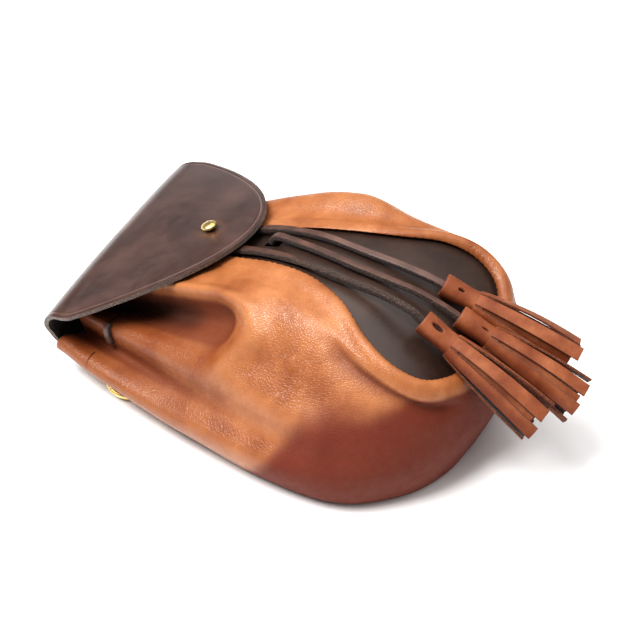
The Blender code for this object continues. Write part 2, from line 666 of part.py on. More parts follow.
def keeper(name, side, collection, finish):
    """A leather loop folded round the ring's bar and sewn flat to the back."""
    place, tilt = ring_frame(side)
    inner = RING_WIRE / 2 + GAP
    outer = inner + KEEPER_LEATHER
    slab = 2 * KEEPER_LEATHER
    outline = [(-KEEPER_LENGTH, 0), (0, 0)]
    for k in range(1, 9):
        turn = math.pi / 2 - math.pi * k / 8
        outline.append((outer * math.cos(turn), -outer + outer * math.sin(turn)))
    outline += [(-KEEPER_PINCH * outer, -slab), (-KEEPER_LENGTH, -slab)]
    hole = []
    for k in range(12):
        turn = math.tau * k / 12
        hole.append((inner * math.cos(turn), -outer + inner * math.sin(turn)))
    curve = bpy.data.curves.new(name, "CURVE")
    curve.dimensions = "2D"
    curve.fill_mode = "BOTH"
    curve.extrude = KEEPER_WIDTH / 2
    for ring in (outline, hole):
        line = curve.splines.new("POLY")
        line.points.add(len(ring) - 1)
        for point, (out, height) in zip(line.points, ring):
            point.co = (side * out, height, 0, 1)
        line.use_cyclic_u = True
    made = new_object(name, curve, collection, finish)
    made.location = place - Vector((0, -math.sin(tilt), math.cos(tilt))) * GAP
    made.rotation_euler = (math.pi / 2 + tilt, 0, 0)


def main():
    for old in list(bpy.data.objects):
        bpy.data.objects.remove(old, do_unlink=True)
    pouch = bpy.data.collections.new("sporran_pouch")
    cutters = bpy.data.collections.new("cutters")
    for collection in (pouch, cutters):
        bpy.context.scene.collection.children.link(collection)

    tan = material("tan_leather", (0.42, 0.13, 0.045), 0.45)
    dark = material("dark_leather", (0.055, 0.034, 0.028), 0.40)
    strip_tan = material("tassel_leather", (0.32, 0.11, 0.05), 0.60)
    brass = material("brass", (0.80, 0.58, 0.22), 0.22, 1.0)

    pouch_body(pouch, tan)
    front_panel(pouch, cutters, dark)
    flap(pouch, cutters, dark)
    button_stud(pouch, brass)
    for name, route, tassel_end in LACES:
        points = lace_points(route, 2.5 * LACE)
        lace(f"thong_{name}", points, pouch, dark)
        way = Vector(tassel_end) * MM - Vector(points[-1])
        start = Vector(points[-1]) + way.normalized() * GAP
        tassel(f"tassel_{name}", start, Vector(tassel_end) * MM, pouch, cutters, strip_tan)
    for side, first, last in DRAWCORD_ENDS:
        drawcord(side, first, last, pouch, dark)
    for name, side in (("near", -1), ("far", 1)):
        d_ring(f"d_ring_{name}", side, pouch, brass)
        keeper(f"keeper_{name}", side, pouch, dark)
    for piece in bpy.data.objects:
        piece.location -= Vector(MIDDLE)


main()
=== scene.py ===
import math

import bmesh
import bpy
import numpy as np
from mathutils import Euler, Matrix, Vector


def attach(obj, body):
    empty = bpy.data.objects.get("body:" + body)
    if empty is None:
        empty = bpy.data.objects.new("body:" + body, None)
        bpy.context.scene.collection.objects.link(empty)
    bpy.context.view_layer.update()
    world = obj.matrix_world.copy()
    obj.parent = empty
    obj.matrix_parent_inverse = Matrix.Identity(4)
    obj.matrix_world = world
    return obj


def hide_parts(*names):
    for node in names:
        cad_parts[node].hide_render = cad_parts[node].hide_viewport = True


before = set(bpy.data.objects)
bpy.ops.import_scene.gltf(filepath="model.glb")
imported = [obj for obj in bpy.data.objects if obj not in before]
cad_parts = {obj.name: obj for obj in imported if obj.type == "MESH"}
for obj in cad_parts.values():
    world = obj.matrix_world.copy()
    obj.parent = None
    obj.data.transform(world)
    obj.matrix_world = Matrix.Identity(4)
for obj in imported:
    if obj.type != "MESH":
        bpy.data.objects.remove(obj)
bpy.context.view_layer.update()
print("stage: frame loaded")

mm = 0.001
middle = np.array((-0.3, 6.05, 0.0)) * mm  # the frame's origin, in the coordinates that the shapes below use


def linear(hexColour):
    parts = [int(hexColour[k:k + 2], 16) / 255 for k in (1, 3, 5)]
    return tuple(p / 12.92 if p <= 0.04045 else ((p + 0.055) / 1.055) ** 2.4 for p in parts) + (1.0,)


# camera at the photograph's angle, with the pouch's middle a little left of the frame's centre
viewpoint = {
    "azimuth": -60.0,
    "elevation": 42.0,
    "distance": 0.850,
    "lookAt": (0.0, 0.0, 0.027),
    "pixelsOff": (-15.0, 15.0),
    "focalPixels": 1545.45,
    "imagePixels": 630,
}


def makeCamera(look):
    azimuth, elevation = math.radians(look["azimuth"]), math.radians(look["elevation"])
    back = Vector((math.sin(azimuth) * math.cos(elevation), -math.cos(azimuth) * math.cos(elevation),
                   math.sin(elevation)))
    right = Vector((math.cos(azimuth), math.sin(azimuth), 0))
    up = back.cross(right)
    perPixel = look["distance"] / look["focalPixels"]
    place = Vector(look["lookAt"]) - Vector(middle) + back * look["distance"]
    place += -right * look["pixelsOff"][0] * perPixel + up * look["pixelsOff"][1] * perPixel
    data = bpy.data.cameras.new("camera")
    data.sensor_width = 36
    data.lens = 36 * look["focalPixels"] / look["imagePixels"]
    data.clip_start = 0.01
    camera = bpy.data.objects.new("camera", data)
    bpy.context.scene.collection.objects.link(camera)
    camera.matrix_world = Matrix.Translation(place) @ Matrix((right, up, back)).transposed().to_4x4()
    bpy.context.scene.camera = camera


makeCamera(viewpoint)


def curveThrough(rows, at):
    # a smooth curve through rows of values, read at fractional row numbers
    rows = np.asarray(rows, float)
    ends = np.concatenate([2 * rows[:1] - rows[1:2], rows, 2 * rows[-1:] - rows[-2:-1]])
    at = np.clip(np.asarray(at, float), 0, len(rows) - 1)
    first = np.minimum(at.astype(int), len(rows) - 2)
    t = (at - first)[..., None]
    a, b, c, d = (ends[first + k] for k in range(4))
    return b + t / 2 * (c - a + t * (2 * a - 5 * b + 4 * c - d + t * (3 * (b - c) + d - a)))


def evenly(points, spacing):
    # points a spacing apart along a line through dense points
    run = np.concatenate([[0], np.cumsum(np.linalg.norm(np.diff(points, axis=0), axis=1))])
    marks = np.linspace(0, run[-1], max(2, round(run[-1] / spacing)) + 1)
    return np.stack([np.interp(marks, run, points[:, k]) for k in range(3)], -1), run[-1]


def smoothStep(value, start, end):
    share = np.clip((value - start) / (end - start), 0, 1)
    return share * share * (3 - 2 * share)


def unit(ways):
    return ways / np.linalg.norm(ways, axis=-1, keepdims=True)


def softNoise(points, size, seed=0):
    # smooth values from -1 to 1 that change over about size metres, the same on every run
    spot = np.asarray(points, float) / size + 37.7 * (seed + 1)
    cell = np.floor(spot).astype(np.int64)
    part = spot - cell
    part = part * part * (3 - 2 * part)
    total = np.zeros(spot.shape[:-1])
    for corner in np.ndindex(2, 2, 2):
        key = ((cell + corner) * (73856093, 19349663, 83492791)).sum(-1) & 0xFFFFFFFF
        key = ((key ^ (key >> 13)) * 1274126177) & 0xFFFFFFFF
        value = ((key ^ (key >> 16)) & 0xFFFF) / 32767.5 - 1
        total += value * np.where(corner, part, 1 - part).prod(-1)
    return total


def newPiece(name, points, faces, finishes, nodes=(), faceFinish=None):
    mesh = bpy.data.meshes.new(name)
    mesh.from_pydata([tuple(p) for p in np.asarray(points, float) - middle], [], [tuple(f) for f in faces])
    for finish in finishes:
        mesh.materials.append(finish)
    if faceFinish is not None:
        mesh.polygons.foreach_set("material_index", np.asarray(faceFinish, np.int32))
    mesh.update()
    piece = bpy.data.objects.new(name, mesh)
    bpy.context.scene.collection.objects.link(piece)
    mesh.shade_smooth()
    return dress(piece, nodes)


def dress(piece, nodes=()):
    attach(piece, "root")
    if nodes:
        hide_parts(*nodes)
    return piece


def giveValues(piece, name, values):
    # a number at each point, which a material reads by name
    layer = piece.data.attributes.new(name, "FLOAT", "POINT")
    layer.data.foreach_set("value", np.asarray(values, np.float32).ravel())


def mergeTouching(piece):
    work = bmesh.new()
    work.from_mesh(piece.data)
    bmesh.ops.remove_doubles(work, verts=work.verts, dist=1e-6)
    work.to_mesh(piece.data)
    work.free()
    piece.data.update()


def thicken(piece, thickness, underside=0, edge=0, even=True):
    skin = piece.modifiers.new("leather", "SOLIDIFY")
    skin.thickness = thickness
    skin.offset = -1
    skin.use_even_offset = even
    skin.material_offset = underside
    skin.material_offset_rim = edge


def soften(piece, width, segments=2, angle=40):
    bevel = piece.modifiers.new("soft edges", "BEVEL")
    bevel.width = width
    bevel.segments = segments
    bevel.limit_method = "ANGLE"
    bevel.angle_limit = math.radians(angle)
    bevel.use_clamp_overlap = True


def bakeShape(piece):
    # the shape with its modifiers becomes the piece's own mesh
    graph = bpy.context.evaluated_depsgraph_get()
    mesh = bpy.data.meshes.new_from_object(piece.evaluated_get(graph))
    piece.modifiers.clear()
    old = piece.data
    piece.data = mesh
    bpy.data.meshes.remove(old)
    mesh.name = piece.name


def cutAway(piece, cutters):
    for cutter in cutters:
        cut = piece.modifiers.new("cut", "BOOLEAN")
        cut.operation = "DIFFERENCE"
        cut.solver = "EXACT"
        cut.object = cutter
    bakeShape(piece)
    for cutter in cutters:
        bpy.data.objects.remove(cutter, do_unlink=True)


def boxCutter(centre, size, turn, finish=None):
    place = Vector(centre) - Vector(middle)
    bpy.ops.mesh.primitive_cube_add(size=1, location=place, rotation=turn, scale=size)
    cutter = bpy.context.active_object
    if finish:
        cutter.data.materials.append(finish)
    return cutter


def gridFaces(index):
    a, b, c, d = index[:-1, :-1], index[:-1, 1:], index[1:, 1:], index[1:, :-1]
    return np.stack([a, b, c, d], -1).reshape(-1, 4).tolist()


def numbered(grid):
    # the number of each point of a grid
    return np.arange(grid[..., 0].size).reshape(grid.shape[:-1])


def closedFaces(index):
    # as gridFaces, for rows that close on themselves
    return gridFaces(np.hstack([index, index[:, :1]]))


def addNode(tree, kind, settings=None, sockets=None):
    node = tree.nodes.new("ShaderNode" + kind)
    for name, value in (settings or {}).items():
        if name == "stops":
            while len(node.color_ramp.elements) < len(value):
                node.color_ramp.elements.new(0.5)
            for element, (place, colour) in zip(node.color_ramp.elements, value):
                element.position, element.color = place, colour
        else:
            setattr(node, name, value)
    for name, value in (sockets or {}).items():
        if isinstance(value, bpy.types.NodeSocket):
            tree.links.new(value, node.inputs[name])
        else:
            node.inputs[name].default_value = value
    return node


def newFinish(name):
    finish = bpy.data.materials.new(name)
    finish.use_nodes = True
    tree = finish.node_tree
    return finish, tree, tree.nodes["Principled BSDF"], addNode(tree, "TexCoord").outputs["Object"]


def shadesOf(look, places):
    return [(place, linear(look[name])) for place, name in zip(places, ("dark", "middle", "light"))]


def makeLeather(name, look):
    finish, tree, shader, where = newFinish(name)
    cloud = addNode(tree, "TexNoise", {}, {
        "Vector": where, "Scale": 1 / look["cloudSize"], "Detail": 3, "Roughness": 0.55})
    shades = {"stops": shadesOf(look, (0.30, 0.50, 0.70))}
    colour = addNode(tree, "ValToRGB", shades, {"Fac": cloud.outputs["Fac"]}).outputs["Color"]
    fleck = addNode(tree, "TexNoise", {}, {
        "Vector": where, "Scale": 1 / look["fleckSize"], "Detail": 4, "Roughness": 0.7})
    share = addNode(tree, "MapRange", {}, {
        "Value": fleck.outputs["Fac"], "From Min": 0.45, "From Max": 0.75, "To Max": look["fleckShare"]})
    colour = addNode(tree, "Mix", {"data_type": "RGBA"}, {
        0: share.outputs[0], 6: colour, 7: linear(look["fleck"])}).outputs[2]
    for attribute, start, end, most, hexColour in look.get("zones", ()):
        zone = addNode(tree, "Attribute", {"attribute_name": attribute})
        share = addNode(tree, "MapRange", {"interpolation_type": "SMOOTHSTEP"}, {
            "Value": zone.outputs["Fac"], "From Min": start, "From Max": end, "To Max": most})
        colour = addNode(tree, "Mix", {"data_type": "RGBA"}, {
            0: share.outputs[0], 6: colour, 7: linear(hexColour)}).outputs[2]
    tree.links.new(colour, shader.inputs["Base Color"])

    grain = addNode(tree, "TexVoronoi", {"feature": "DISTANCE_TO_EDGE"}, {
        "Vector": where, "Scale": 1 / look["grainSize"], "Randomness": 1.0})
    pebble = addNode(tree, "MapRange", {}, {"Value": grain.outputs["Distance"], "From Max": 0.22})
    crinkle = addNode(tree, "TexNoise", {"noise_type": "RIDGED_MULTIFRACTAL", "normalize": True}, {
        "Vector": where, "Scale": 1 / look["crinkleSize"], "Detail": 3, "Roughness": 0.5})
    rub = addNode(tree, "Bump", {}, {
        "Height": pebble.outputs[0], "Strength": look["grainStrength"], "Distance": look["grainDepth"]})
    relief = addNode(tree, "Bump", {}, {
        "Height": crinkle.outputs["Fac"], "Strength": look["crinkleStrength"],
        "Distance": look["crinkleDepth"], "Normal": rub.outputs["Normal"]})
    if "wrinkleZone" in look:
        zone = addNode(tree, "Attribute", {"attribute_name": look["wrinkleZone"]})
        wrinkle = addNode(tree, "TexNoise", {"noise_type": "RIDGED_MULTIFRACTAL", "normalize": True}, {
            "Vector": where, "Scale": 1 / look["wrinkleSize"], "Detail": 2, "Roughness": 0.5})
        strength = addNode(tree, "MapRange", {}, {
            "Value": zone.outputs["Fac"], "To Max": look["wrinkleStrength"]})
        relief = addNode(tree, "Bump", {}, {
            "Height": wrinkle.outputs["Fac"], "Strength": strength.outputs[0],
            "Distance": look["wrinkleDepth"], "Normal": relief.outputs["Normal"]})
    tree.links.new(relief.outputs["Normal"], shader.inputs["Normal"])
    low, high = look["roughness"]
    polish = addNode(tree, "MapRange", {}, {
        "Value": fleck.outputs["Fac"], "From Min": 0.3, "From Max": 0.7, "To Min": low, "To Max": high})
    if "dullZone" in look:
        zone = addNode(tree, "Attribute", {"attribute_name": look["dullZone"]})
        dulled = addNode(tree, "MapRange", {}, {"Value": zone.outputs["Fac"], "To Max": look["dullBy"]})
        polish = addNode(tree, "Math", {"operation": "ADD"}, {0: polish.outputs[0], 1: dulled.outputs[0]})
    tree.links.new(polish.outputs[0], shader.inputs["Roughness"])
    shader.inputs["Specular IOR Level"].default_value = look["shine"]
    shader.inputs["Coat Weight"].default_value = look["wax"]
    shader.inputs["Coat Roughness"].default_value = look["waxRoughness"]
    shader.inputs["IOR"].default_value = 1.5
    return finish


def makeCutLeather(name, look):
    # leather cut across its fibres, or its split underside: matt, speckled with lighter fibre ends
    finish, tree, shader, where = newFinish(name)
    speck = addNode(tree, "TexNoise", {}, {
        "Vector": where, "Scale": 1 / look["fibreSize"], "Detail": 4, "Roughness": 0.75})
    shades = {"stops": shadesOf(look, (0.36, 0.52, 0.68))}
    colour = addNode(tree, "ValToRGB", shades, {"Fac": speck.outputs["Fac"]}).outputs["Color"]
    tree.links.new(colour, shader.inputs["Base Color"])
    nap = addNode(tree, "Bump", {}, {
        "Height": speck.outputs["Fac"], "Strength": look["napStrength"], "Distance": look["napDepth"]})
    tree.links.new(nap.outputs["Normal"], shader.inputs["Normal"])
    shader.inputs["Roughness"].default_value = look["roughness"]
    shader.inputs["Sheen Weight"].default_value = look["sheen"]
    return finish


def makeMetal(name, look):
    finish, tree, shader, where = newFinish(name)
    tarnish = addNode(tree, "TexNoise", {}, {
        "Vector": where, "Scale": 1 / look["patchSize"], "Detail": 4, "Roughness": 0.6})
    share = addNode(tree, "MapRange", {}, {
        "Value": tarnish.outputs["Fac"], "From Min": 0.40, "From Max": 0.72})
    colour = addNode(tree, "Mix", {"data_type": "RGBA"}, {
        0: share.outputs[0], 6: linear(look["bright"]), 7: linear(look["dull"])})
    tree.links.new(colour.outputs[2], shader.inputs["Base Color"])
    scratch = addNode(tree, "TexNoise", {}, {
        "Vector": where, "Scale": 1 / look["scratchSize"], "Detail": 5, "Roughness": 0.8})
    low, high = look["roughness"]
    haze = addNode(tree, "MapRange", {}, {
        "Value": scratch.outputs["Fac"], "From Min": 0.3, "From Max": 0.7, "To Min": low, "To Max": high})
    tree.links.new(haze.outputs[0], shader.inputs["Roughness"])
    bump = addNode(tree, "Bump", {}, {
        "Height": scratch.outputs["Fac"], "Strength": 0.15, "Distance": 0.02 * mm})
    tree.links.new(bump.outputs["Normal"], shader.inputs["Normal"])
    shader.inputs["Metallic"].default_value = 1.0
    return finish


# vegetable-tanned calf, dyed tan and hand-waxed: a warm satin glow, paler where it is pulled over a ridge,
# with painted shade in red-brown where it turns under; its 0.9 mm grain is drawn at 1.4 mm to show
tanCalf = {
    "dark": "#7f4624", "middle": "#9b6039", "light": "#ad7147",
    "cloudSize": 26 * mm,
    "fleck": "#844623", "fleckSize": 5 * mm, "fleckShare": 0.35,
    "grainSize": 1.4 * mm, "grainStrength": 0.75, "grainDepth": 0.12 * mm,
    "crinkleSize": 7 * mm, "crinkleStrength": 0.40, "crinkleDepth": 0.40 * mm,
    "wrinkleZone": "wrinkled", "wrinkleSize": 2.6 * mm, "wrinkleStrength": 0.9, "wrinkleDepth": 0.35 * mm,
    "roughness": (0.28, 0.42), "wax": 0.0, "waxRoughness": 0.3,
    # painted shade: these zones darken the calf where it turns under, in fold valleys, in the recess under
    # the flap and along the rim crease; the ridge zone is paler on fold crests
    "zones": (("ridge", 0.1, 1.0, 0.40, "#b47a4f"), ("under", 0.0, 1.0, 0.95, "#5e1c06"),
              ("valley", 0.06, 0.90, 0.85, "#632a0f"), ("recess", 0.0, 1.0, 0.74, "#2a1007"),
              ("rimCrease", 0.1, 1.0, 0.50, "#521f0c")),
    "shine": 0.40, "dullZone": "dull", "dullBy": 0.40,
}
tanLeather = makeLeather("vegetableTannedCalf", tanCalf)

# the split side of the same hide: matt, paler and fibrous
tanSplit = {
    "dark": "#7c4526", "middle": "#a3673d", "light": "#c99a6c",
    "fibreSize": 0.7 * mm, "napStrength": 0.6, "napDepth": 0.25 * mm, "roughness": 0.85, "sheen": 0.25,
}
tanFlesh = makeCutLeather("vegetableTannedSplit", tanSplit)

# drum-dyed bridle leather, plated smooth: near-black brown with a soft broad sheen
bridleSmooth = {
    "dark": "#281a15", "middle": "#33231c", "light": "#3f2e26",
    "cloudSize": 45 * mm,
    "fleck": "#3f2f28", "fleckSize": 3 * mm, "fleckShare": 0.25,
    "grainSize": 0.7 * mm, "grainStrength": 0.15, "grainDepth": 0.05 * mm,
    "crinkleSize": 16 * mm, "crinkleStrength": 0.15, "crinkleDepth": 0.3 * mm,
    "roughness": (0.36, 0.46), "wax": 0.10, "waxRoughness": 0.35, "shine": 0.5,
}
panelLeather = makeLeather("platedBridleLeather", bridleSmooth)

# the flap's thicker bridle butt, hand-waxed: cloudy plum-brown mottling under the wax, with a painted
# highlight along its crease line and a painted shadow round the stud
bridleWaxed = {
    "dark": "#2c1914", "middle": "#3a231d", "light": "#4a312a",
    "cloudSize": 26 * mm,
    "fleck": "#54403a", "fleckSize": 7 * mm, "fleckShare": 0.30,
    "grainSize": 0.6 * mm, "grainStrength": 0.18, "grainDepth": 0.05 * mm,
    "crinkleSize": 14 * mm, "crinkleStrength": 0.12, "crinkleDepth": 0.3 * mm,
    "roughness": (0.30, 0.42), "wax": 0.25, "waxRoughness": 0.28, "shine": 0.5,
    # a painted highlight on the crease line, wear round the stud's hole, and the stud's painted shadow
    "zones": (("creaseLine", 0.3, 1.0, 0.40, "#80604f"), ("stain", 0.1, 1.0, 0.55, "#6d4426"),
              ("contact", 0.0, 1.0, 0.9, "#0d0706")),
}
flapLeather = makeLeather("waxedBridleButt", bridleWaxed)

# the same butt where a knife has cut it: grey-brown fibre ends, fuzzy
bridleCut = {
    "dark": "#2e231f", "middle": "#574840", "light": "#8d7a6c",
    "fibreSize": 0.8 * mm, "napStrength": 0.9, "napDepth": 0.35 * mm, "roughness": 0.8, "sheen": 0.3,
}
flapCut = makeCutLeather("knifeCutBridleEdge", bridleCut)

# its underside: dyed through and sealed, nearly black
bridleFlesh = {
    "dark": "#120d0b", "middle": "#1c1512", "light": "#2c221d",
    "fibreSize": 1.2 * mm, "napStrength": 0.5, "napDepth": 0.2 * mm, "roughness": 0.75, "sheen": 0.1,
}
flapFlesh = makeCutLeather("sealedBridleUnderside", bridleFlesh)

# lace leather, greased and cut square: dark smooth top
laceSmooth = {
    "dark": "#3f2922", "middle": "#50372e", "light": "#63463b",
    "cloudSize": 14 * mm,
    "fleck": "#4c362f", "fleckSize": 1.6 * mm, "fleckShare": 0.25,
    "grainSize": 0.6 * mm, "grainStrength": 0.25, "grainDepth": 0.06 * mm,
    "crinkleSize": 6 * mm, "crinkleStrength": 0.2, "crinkleDepth": 0.15 * mm,
    "roughness": (0.34, 0.48), "wax": 0.10, "waxRoughness": 0.35, "shine": 0.5,
}
laceLeather = makeLeather("greasedLaceLeather", laceSmooth)

# the lace's cut sides, speckled with pale fibres
laceCut = {
    "dark": "#1a0f0c", "middle": "#33221c", "light": "#6f5b50",
    "fibreSize": 0.6 * mm, "napStrength": 0.9, "napDepth": 0.25 * mm, "roughness": 0.9, "sheen": 0.1,
}
laceFlesh = makeCutLeather("roughLaceFlesh", laceCut)

# the opening of each slit: painted shade in a dark red brown, so the cut reads as a line
slitShadeLook = {
    "dark": "#2a0b05", "middle": "#461408", "light": "#5c1f0e",
    "fibreSize": 0.7 * mm, "napStrength": 0.4, "napDepth": 0.2 * mm, "roughness": 0.9, "sheen": 0.0,
}
slitShade = makeCutLeather("paintedSlitShade", slitShadeLook)

# tassel leather, aniline-dyed russet and left unwaxed: matt and even, in flat strips, with painted shade
# round its sides and in its slots
russet = {
    "dark": "#6e3820", "middle": "#80482c", "light": "#945a3a",
    "cloudSize": 12 * mm,
    "fleck": "#743a22", "fleckSize": 2 * mm, "fleckShare": 0.35,
    "grainSize": 0.8 * mm, "grainStrength": 0.25, "grainDepth": 0.06 * mm,
    "crinkleSize": 3 * mm, "crinkleStrength": 0.25, "crinkleDepth": 0.15 * mm,
    "roughness": (0.48, 0.62), "wax": 0.0, "waxRoughness": 0.4, "shine": 0.25,
    # painted shade: darker round the sides, and nearly black in each sunk slot
    "zones": (("lowSide", 0.0, 1.0, 0.75, "#5a2613"), ("slot", 0.25, 0.8, 0.92, "#1c0d08")),
}
tasselLeather = makeLeather("russetAnilineLeather", russet)

# its knife-cut edges: dyed most of the way in, with paler streaks of the undyed middle
russetCut = {
    "dark": "#44200f", "middle": "#5c2e17", "light": "#8f5934",
    "fibreSize": 0.9 * mm, "napStrength": 0.5, "napDepth": 0.2 * mm, "roughness": 0.85, "sheen": 0.1,
}
tasselCut = makeCutLeather("knifeCutRussetEdge", russetCut)

# its inner side, dark from the dye
russetFlesh = {
    "dark": "#2b1209", "middle": "#431e10", "light": "#5e3220",
    "fibreSize": 0.9 * mm, "napStrength": 0.6, "napDepth": 0.2 * mm, "roughness": 0.9, "sheen": 0.2,
}
tasselFlesh = makeCutLeather("russetSplitSide", russetFlesh)

# turned brass, machine-polished and a little handled: warm yellow with a faint haze
polishedBrass = {
    "bright": "#f6dc9c", "dull": "#d2ab62", "patchSize": 4 * mm, "scratchSize": 0.6 * mm,
    "roughness": (0.24, 0.38),
}
brass = makeMetal("polishedBrass", polishedBrass)
print("stage: finishes made")

# the pouch's shape, as in the solids: lengths in metres, shares of them in the table of sections
pouchShape = {
    "length": 250 * mm, "width": 180 * mm, "crest": 88 * mm,
    "bodyLeather": 1.8 * mm, "panelLeather": 2.6 * mm, "gap": 0.3 * mm,
    "rollWidth": 9 * mm, "rollHeight": 4 * mm, "panelTuck": 4 * mm, "panelCrown": 3 * mm,
    "backLift": 16 * mm, "backRiseFrom": 0.08, "backRiseTo": 0.44,
    "mouthDip": 10 * mm, "mouthDipRows": 2.5, "mouthDipSquareness": 8, "sideLift": 0.6,
    "foldHeight": 12 * mm, "fadeBelowRoll": 0.12, "fadeAboveFoot": 0.10, "rollShare": 0.16,
}
sectionColumns = ("rimX", "rimY", "rimZ", "roll", "heading",
                  "shoulderOut", "shoulderZ", "sideOut", "sideZ", "footOut")
sections = (
    (0.133, 0.368, 0.52, 0.2, -20, 0.29, 0.53, 0.62, 0.17, 0.560),
    (0.133, 0.296, 0.65, 0.2, -15, 0.31, 0.625, 0.67, 0.19, 0.600),
    (0.139, 0.208, 0.765, 0.2, -10, 0.33, 0.725, 0.71, 0.22, 0.640),
    (0.156, 0.112, 0.855, 0.2, -5, 0.36, 0.83, 0.75, 0.26, 0.670),
    (0.189, 0.016, 0.95, 0.2, 0, 0.38, 0.92, 0.77, 0.29, 0.680),
    (0.239, -0.080, 1.00, 0.3, 4, 0.37, 0.94, 0.760, 0.30, 0.665),
    (0.333, -0.170, 0.995, 0.5, 6, 0.31, 0.91, 0.67, 0.31, 0.570),
    (0.477, -0.252, 0.94, 0.8, 13, 0.212, 0.83, 0.487, 0.32, 0.377),
    (0.529, -0.320, 0.86, 1.0, 26, 0.150, 0.75, 0.310, 0.33, 0.195),
    (0.473, -0.378, 0.77, 1.0, 41, 0.130, 0.67, 0.205, 0.33, 0.085),
    (0.304, -0.411, 0.70, 1.0, 57, 0.136, 0.60, 0.161, 0.33, 0.051),
    (0.135, -0.418, 0.67, 1.0, 74, 0.148, 0.57, 0.158, 0.33, 0.046),
    (0.000, -0.420, 0.66, 1.0, 90, 0.15, 0.56, 0.155, 0.33, 0.044),
)
lastSection = 2 * (len(sections) - 1)

# the main folds: side, height at the mouth and at the end, width, and stops of (section, share down)
folds = (
    ("near", 0.45, 0.25, 0.048, ((0, 0.590), (3.4, 0.605), (6.4, 0.612))),
    ("near", -1.00, -0.25, 0.046, ((0, 0.672), (2.8, 0.664), (5.9, 0.655))),
    ("near", 0.60, 0.22, 0.080, ((0, 0.800), (3.0, 0.745), (6.2, 0.700))),
    ("near", -1.45, -1.00, 0.055, ((0, 0.515), (1.6, 0.512), (3.5, 0.500))),
    ("near", 0.40, 0.30, 0.036, ((1.7, 0.445), (3.3, 0.410), (4.2, 0.430), (4.5, 0.490), (4.1, 0.560))),
    ("near", 0.40, 0.20, 0.060, ((0, 0.430), (1.8, 0.425))),
    ("near", -0.30, -0.30, 0.070, ((6.6, 0.390), (8.0, 0.385), (9.4, 0.400))),
    ("far", 0.05, 0.50, 0.110, ((2.0, 0.420), (3.4, 0.400), (4.6, 0.390))),
    ("far", -0.90, -0.45, 0.060, ((0, 0.560), (3.2, 0.550))),
    ("far", 0.40, 0.20, 0.055, ((0, 0.640), (4.5, 0.650))),
    ("far", -0.90, -0.20, 0.050, ((0, 0.710), (5.2, 0.700))),
    ("far", 0.50, 0.20, 0.070, ((0, 0.820), (5.4, 0.760))),
)
sectionStep = 0.08 * pouchShape["length"]
sideDrop = 0.75 * pouchShape["width"]


def wholePath():
    near = np.array(sections, float)
    far = near[-2::-1].copy()
    near[:, 0] *= -1
    far[:, sectionColumns.index("heading")] = 180 - far[:, sectionColumns.index("heading")]
    return np.vstack([near, far])


path = wholePath()


def sectionAt(at):
    return dict(zip(sectionColumns, np.moveaxis(curveThrough(path, at), -1, 0)))


def backHeight(y):
    rise = smoothStep(y / pouchShape["length"], pouchShape["backRiseFrom"], pouchShape["backRiseTo"])
    return pouchShape["backLift"] * rise


def sideProfile(s, footLift, down):
    shape = pouchShape
    half = shape["width"] / 2
    lip = s["rimZ"] * shape["crest"] + shape["bodyLeather"] + shape["gap"]
    share = np.clip(down / shape["rollShare"], 0, 1)
    rollOut = shape["rollWidth"] * (1 - np.cos(share * math.pi)) / 2
    rollZ = lip + shape["rollHeight"] * s["roll"] * np.sin(share * math.pi) - shape["gap"] * share
    marks = np.stack([
        np.stack([np.full_like(lip, shape["rollWidth"]), lip - shape["gap"]], -1),
        np.stack([s["shoulderOut"] * half, s["shoulderZ"] * shape["crest"]], -1),
        np.stack([s["sideOut"] * half, s["sideZ"] * shape["crest"] + footLift * shape["sideLift"]], -1),
        np.stack([s["footOut"] * half, footLift], -1),
    ])
    run = np.clip((down - shape["rollShare"]) / (1 - shape["rollShare"]), 0, 1) * (len(marks) - 1)
    before = 2 * marks[:1] - marks[1:2]
    after = (2 * marks[-1:] - marks[-2:-1]) * (1, 0) + marks[-2:-1] * (0, 1)
    ends = np.concatenate([before, marks, after])
    first = np.minimum(run.astype(int), len(marks) - 2)
    t = (run - first)[..., None]
    a, b, c, d = (np.take_along_axis(ends, np.repeat((first + k)[None, ..., None], 2, -1), 0)[0]
                  for k in range(4))
    side = b + t / 2 * (c - a + t * (2 * a - 5 * b + 4 * c - d + t * (3 * (b - c) + d - a)))
    onRoll = down < shape["rollShare"]
    return np.where(onRoll, rollOut, side[..., 0]), np.where(onRoll, rollZ, side[..., 1])


def smoothFace(at, down):
    at, down = np.broadcast_arrays(np.asarray(at, float), np.asarray(down, float))
    s = sectionAt(at)
    heading = np.radians(s["heading"])
    outWay = np.stack([-np.cos(heading), -np.sin(heading)], -1)
    rim = np.stack([s["rimX"] * pouchShape["width"] / 2, s["rimY"] * pouchShape["length"]], -1)
    foot = rim + outWay * (s["footOut"] * pouchShape["width"] / 2)[..., None]
    out, z = sideProfile(s, backHeight(foot[..., 1]), down)
    return np.concatenate([rim + outWay * out[..., None], z[..., None]], -1)


def routeDistance(at, down, side, route):
    # how far each spot of the side is from a route, and how far along the route it is, as a share
    here = at if side == "near" else lastSection - at
    stops = np.array(route, float) * (sectionStep, sideDrop)
    spans = np.linalg.norm(np.diff(stops, axis=0), axis=1)
    nearest = np.full(np.broadcast(at, down).shape, np.inf)
    along = np.zeros(nearest.shape)
    for k, span in enumerate(spans):
        way = (stops[k + 1] - stops[k]) / span
        dx, dy = here * sectionStep - stops[k][0], down * sideDrop - stops[k][1]
        run = np.clip(dx * way[0] + dy * way[1], 0, span)
        gap = np.hypot(dx - run * way[0], dy - run * way[1])
        along = np.where(gap < nearest, spans[:k].sum() + run, along)
        nearest = np.minimum(gap, nearest)
    return nearest, along / spans.sum()


def foldOffset(at, down):
    total = np.zeros(np.broadcast(at, down).shape)
    for side, atMouth, atEnd, width, route in folds:
        nearest, along = routeDistance(at, down, side, route)
        height = atMouth + (atEnd - atMouth) * along
        total += pouchShape["foldHeight"] * height * np.exp(-((nearest / (width * sideDrop)) ** 2))
    return total


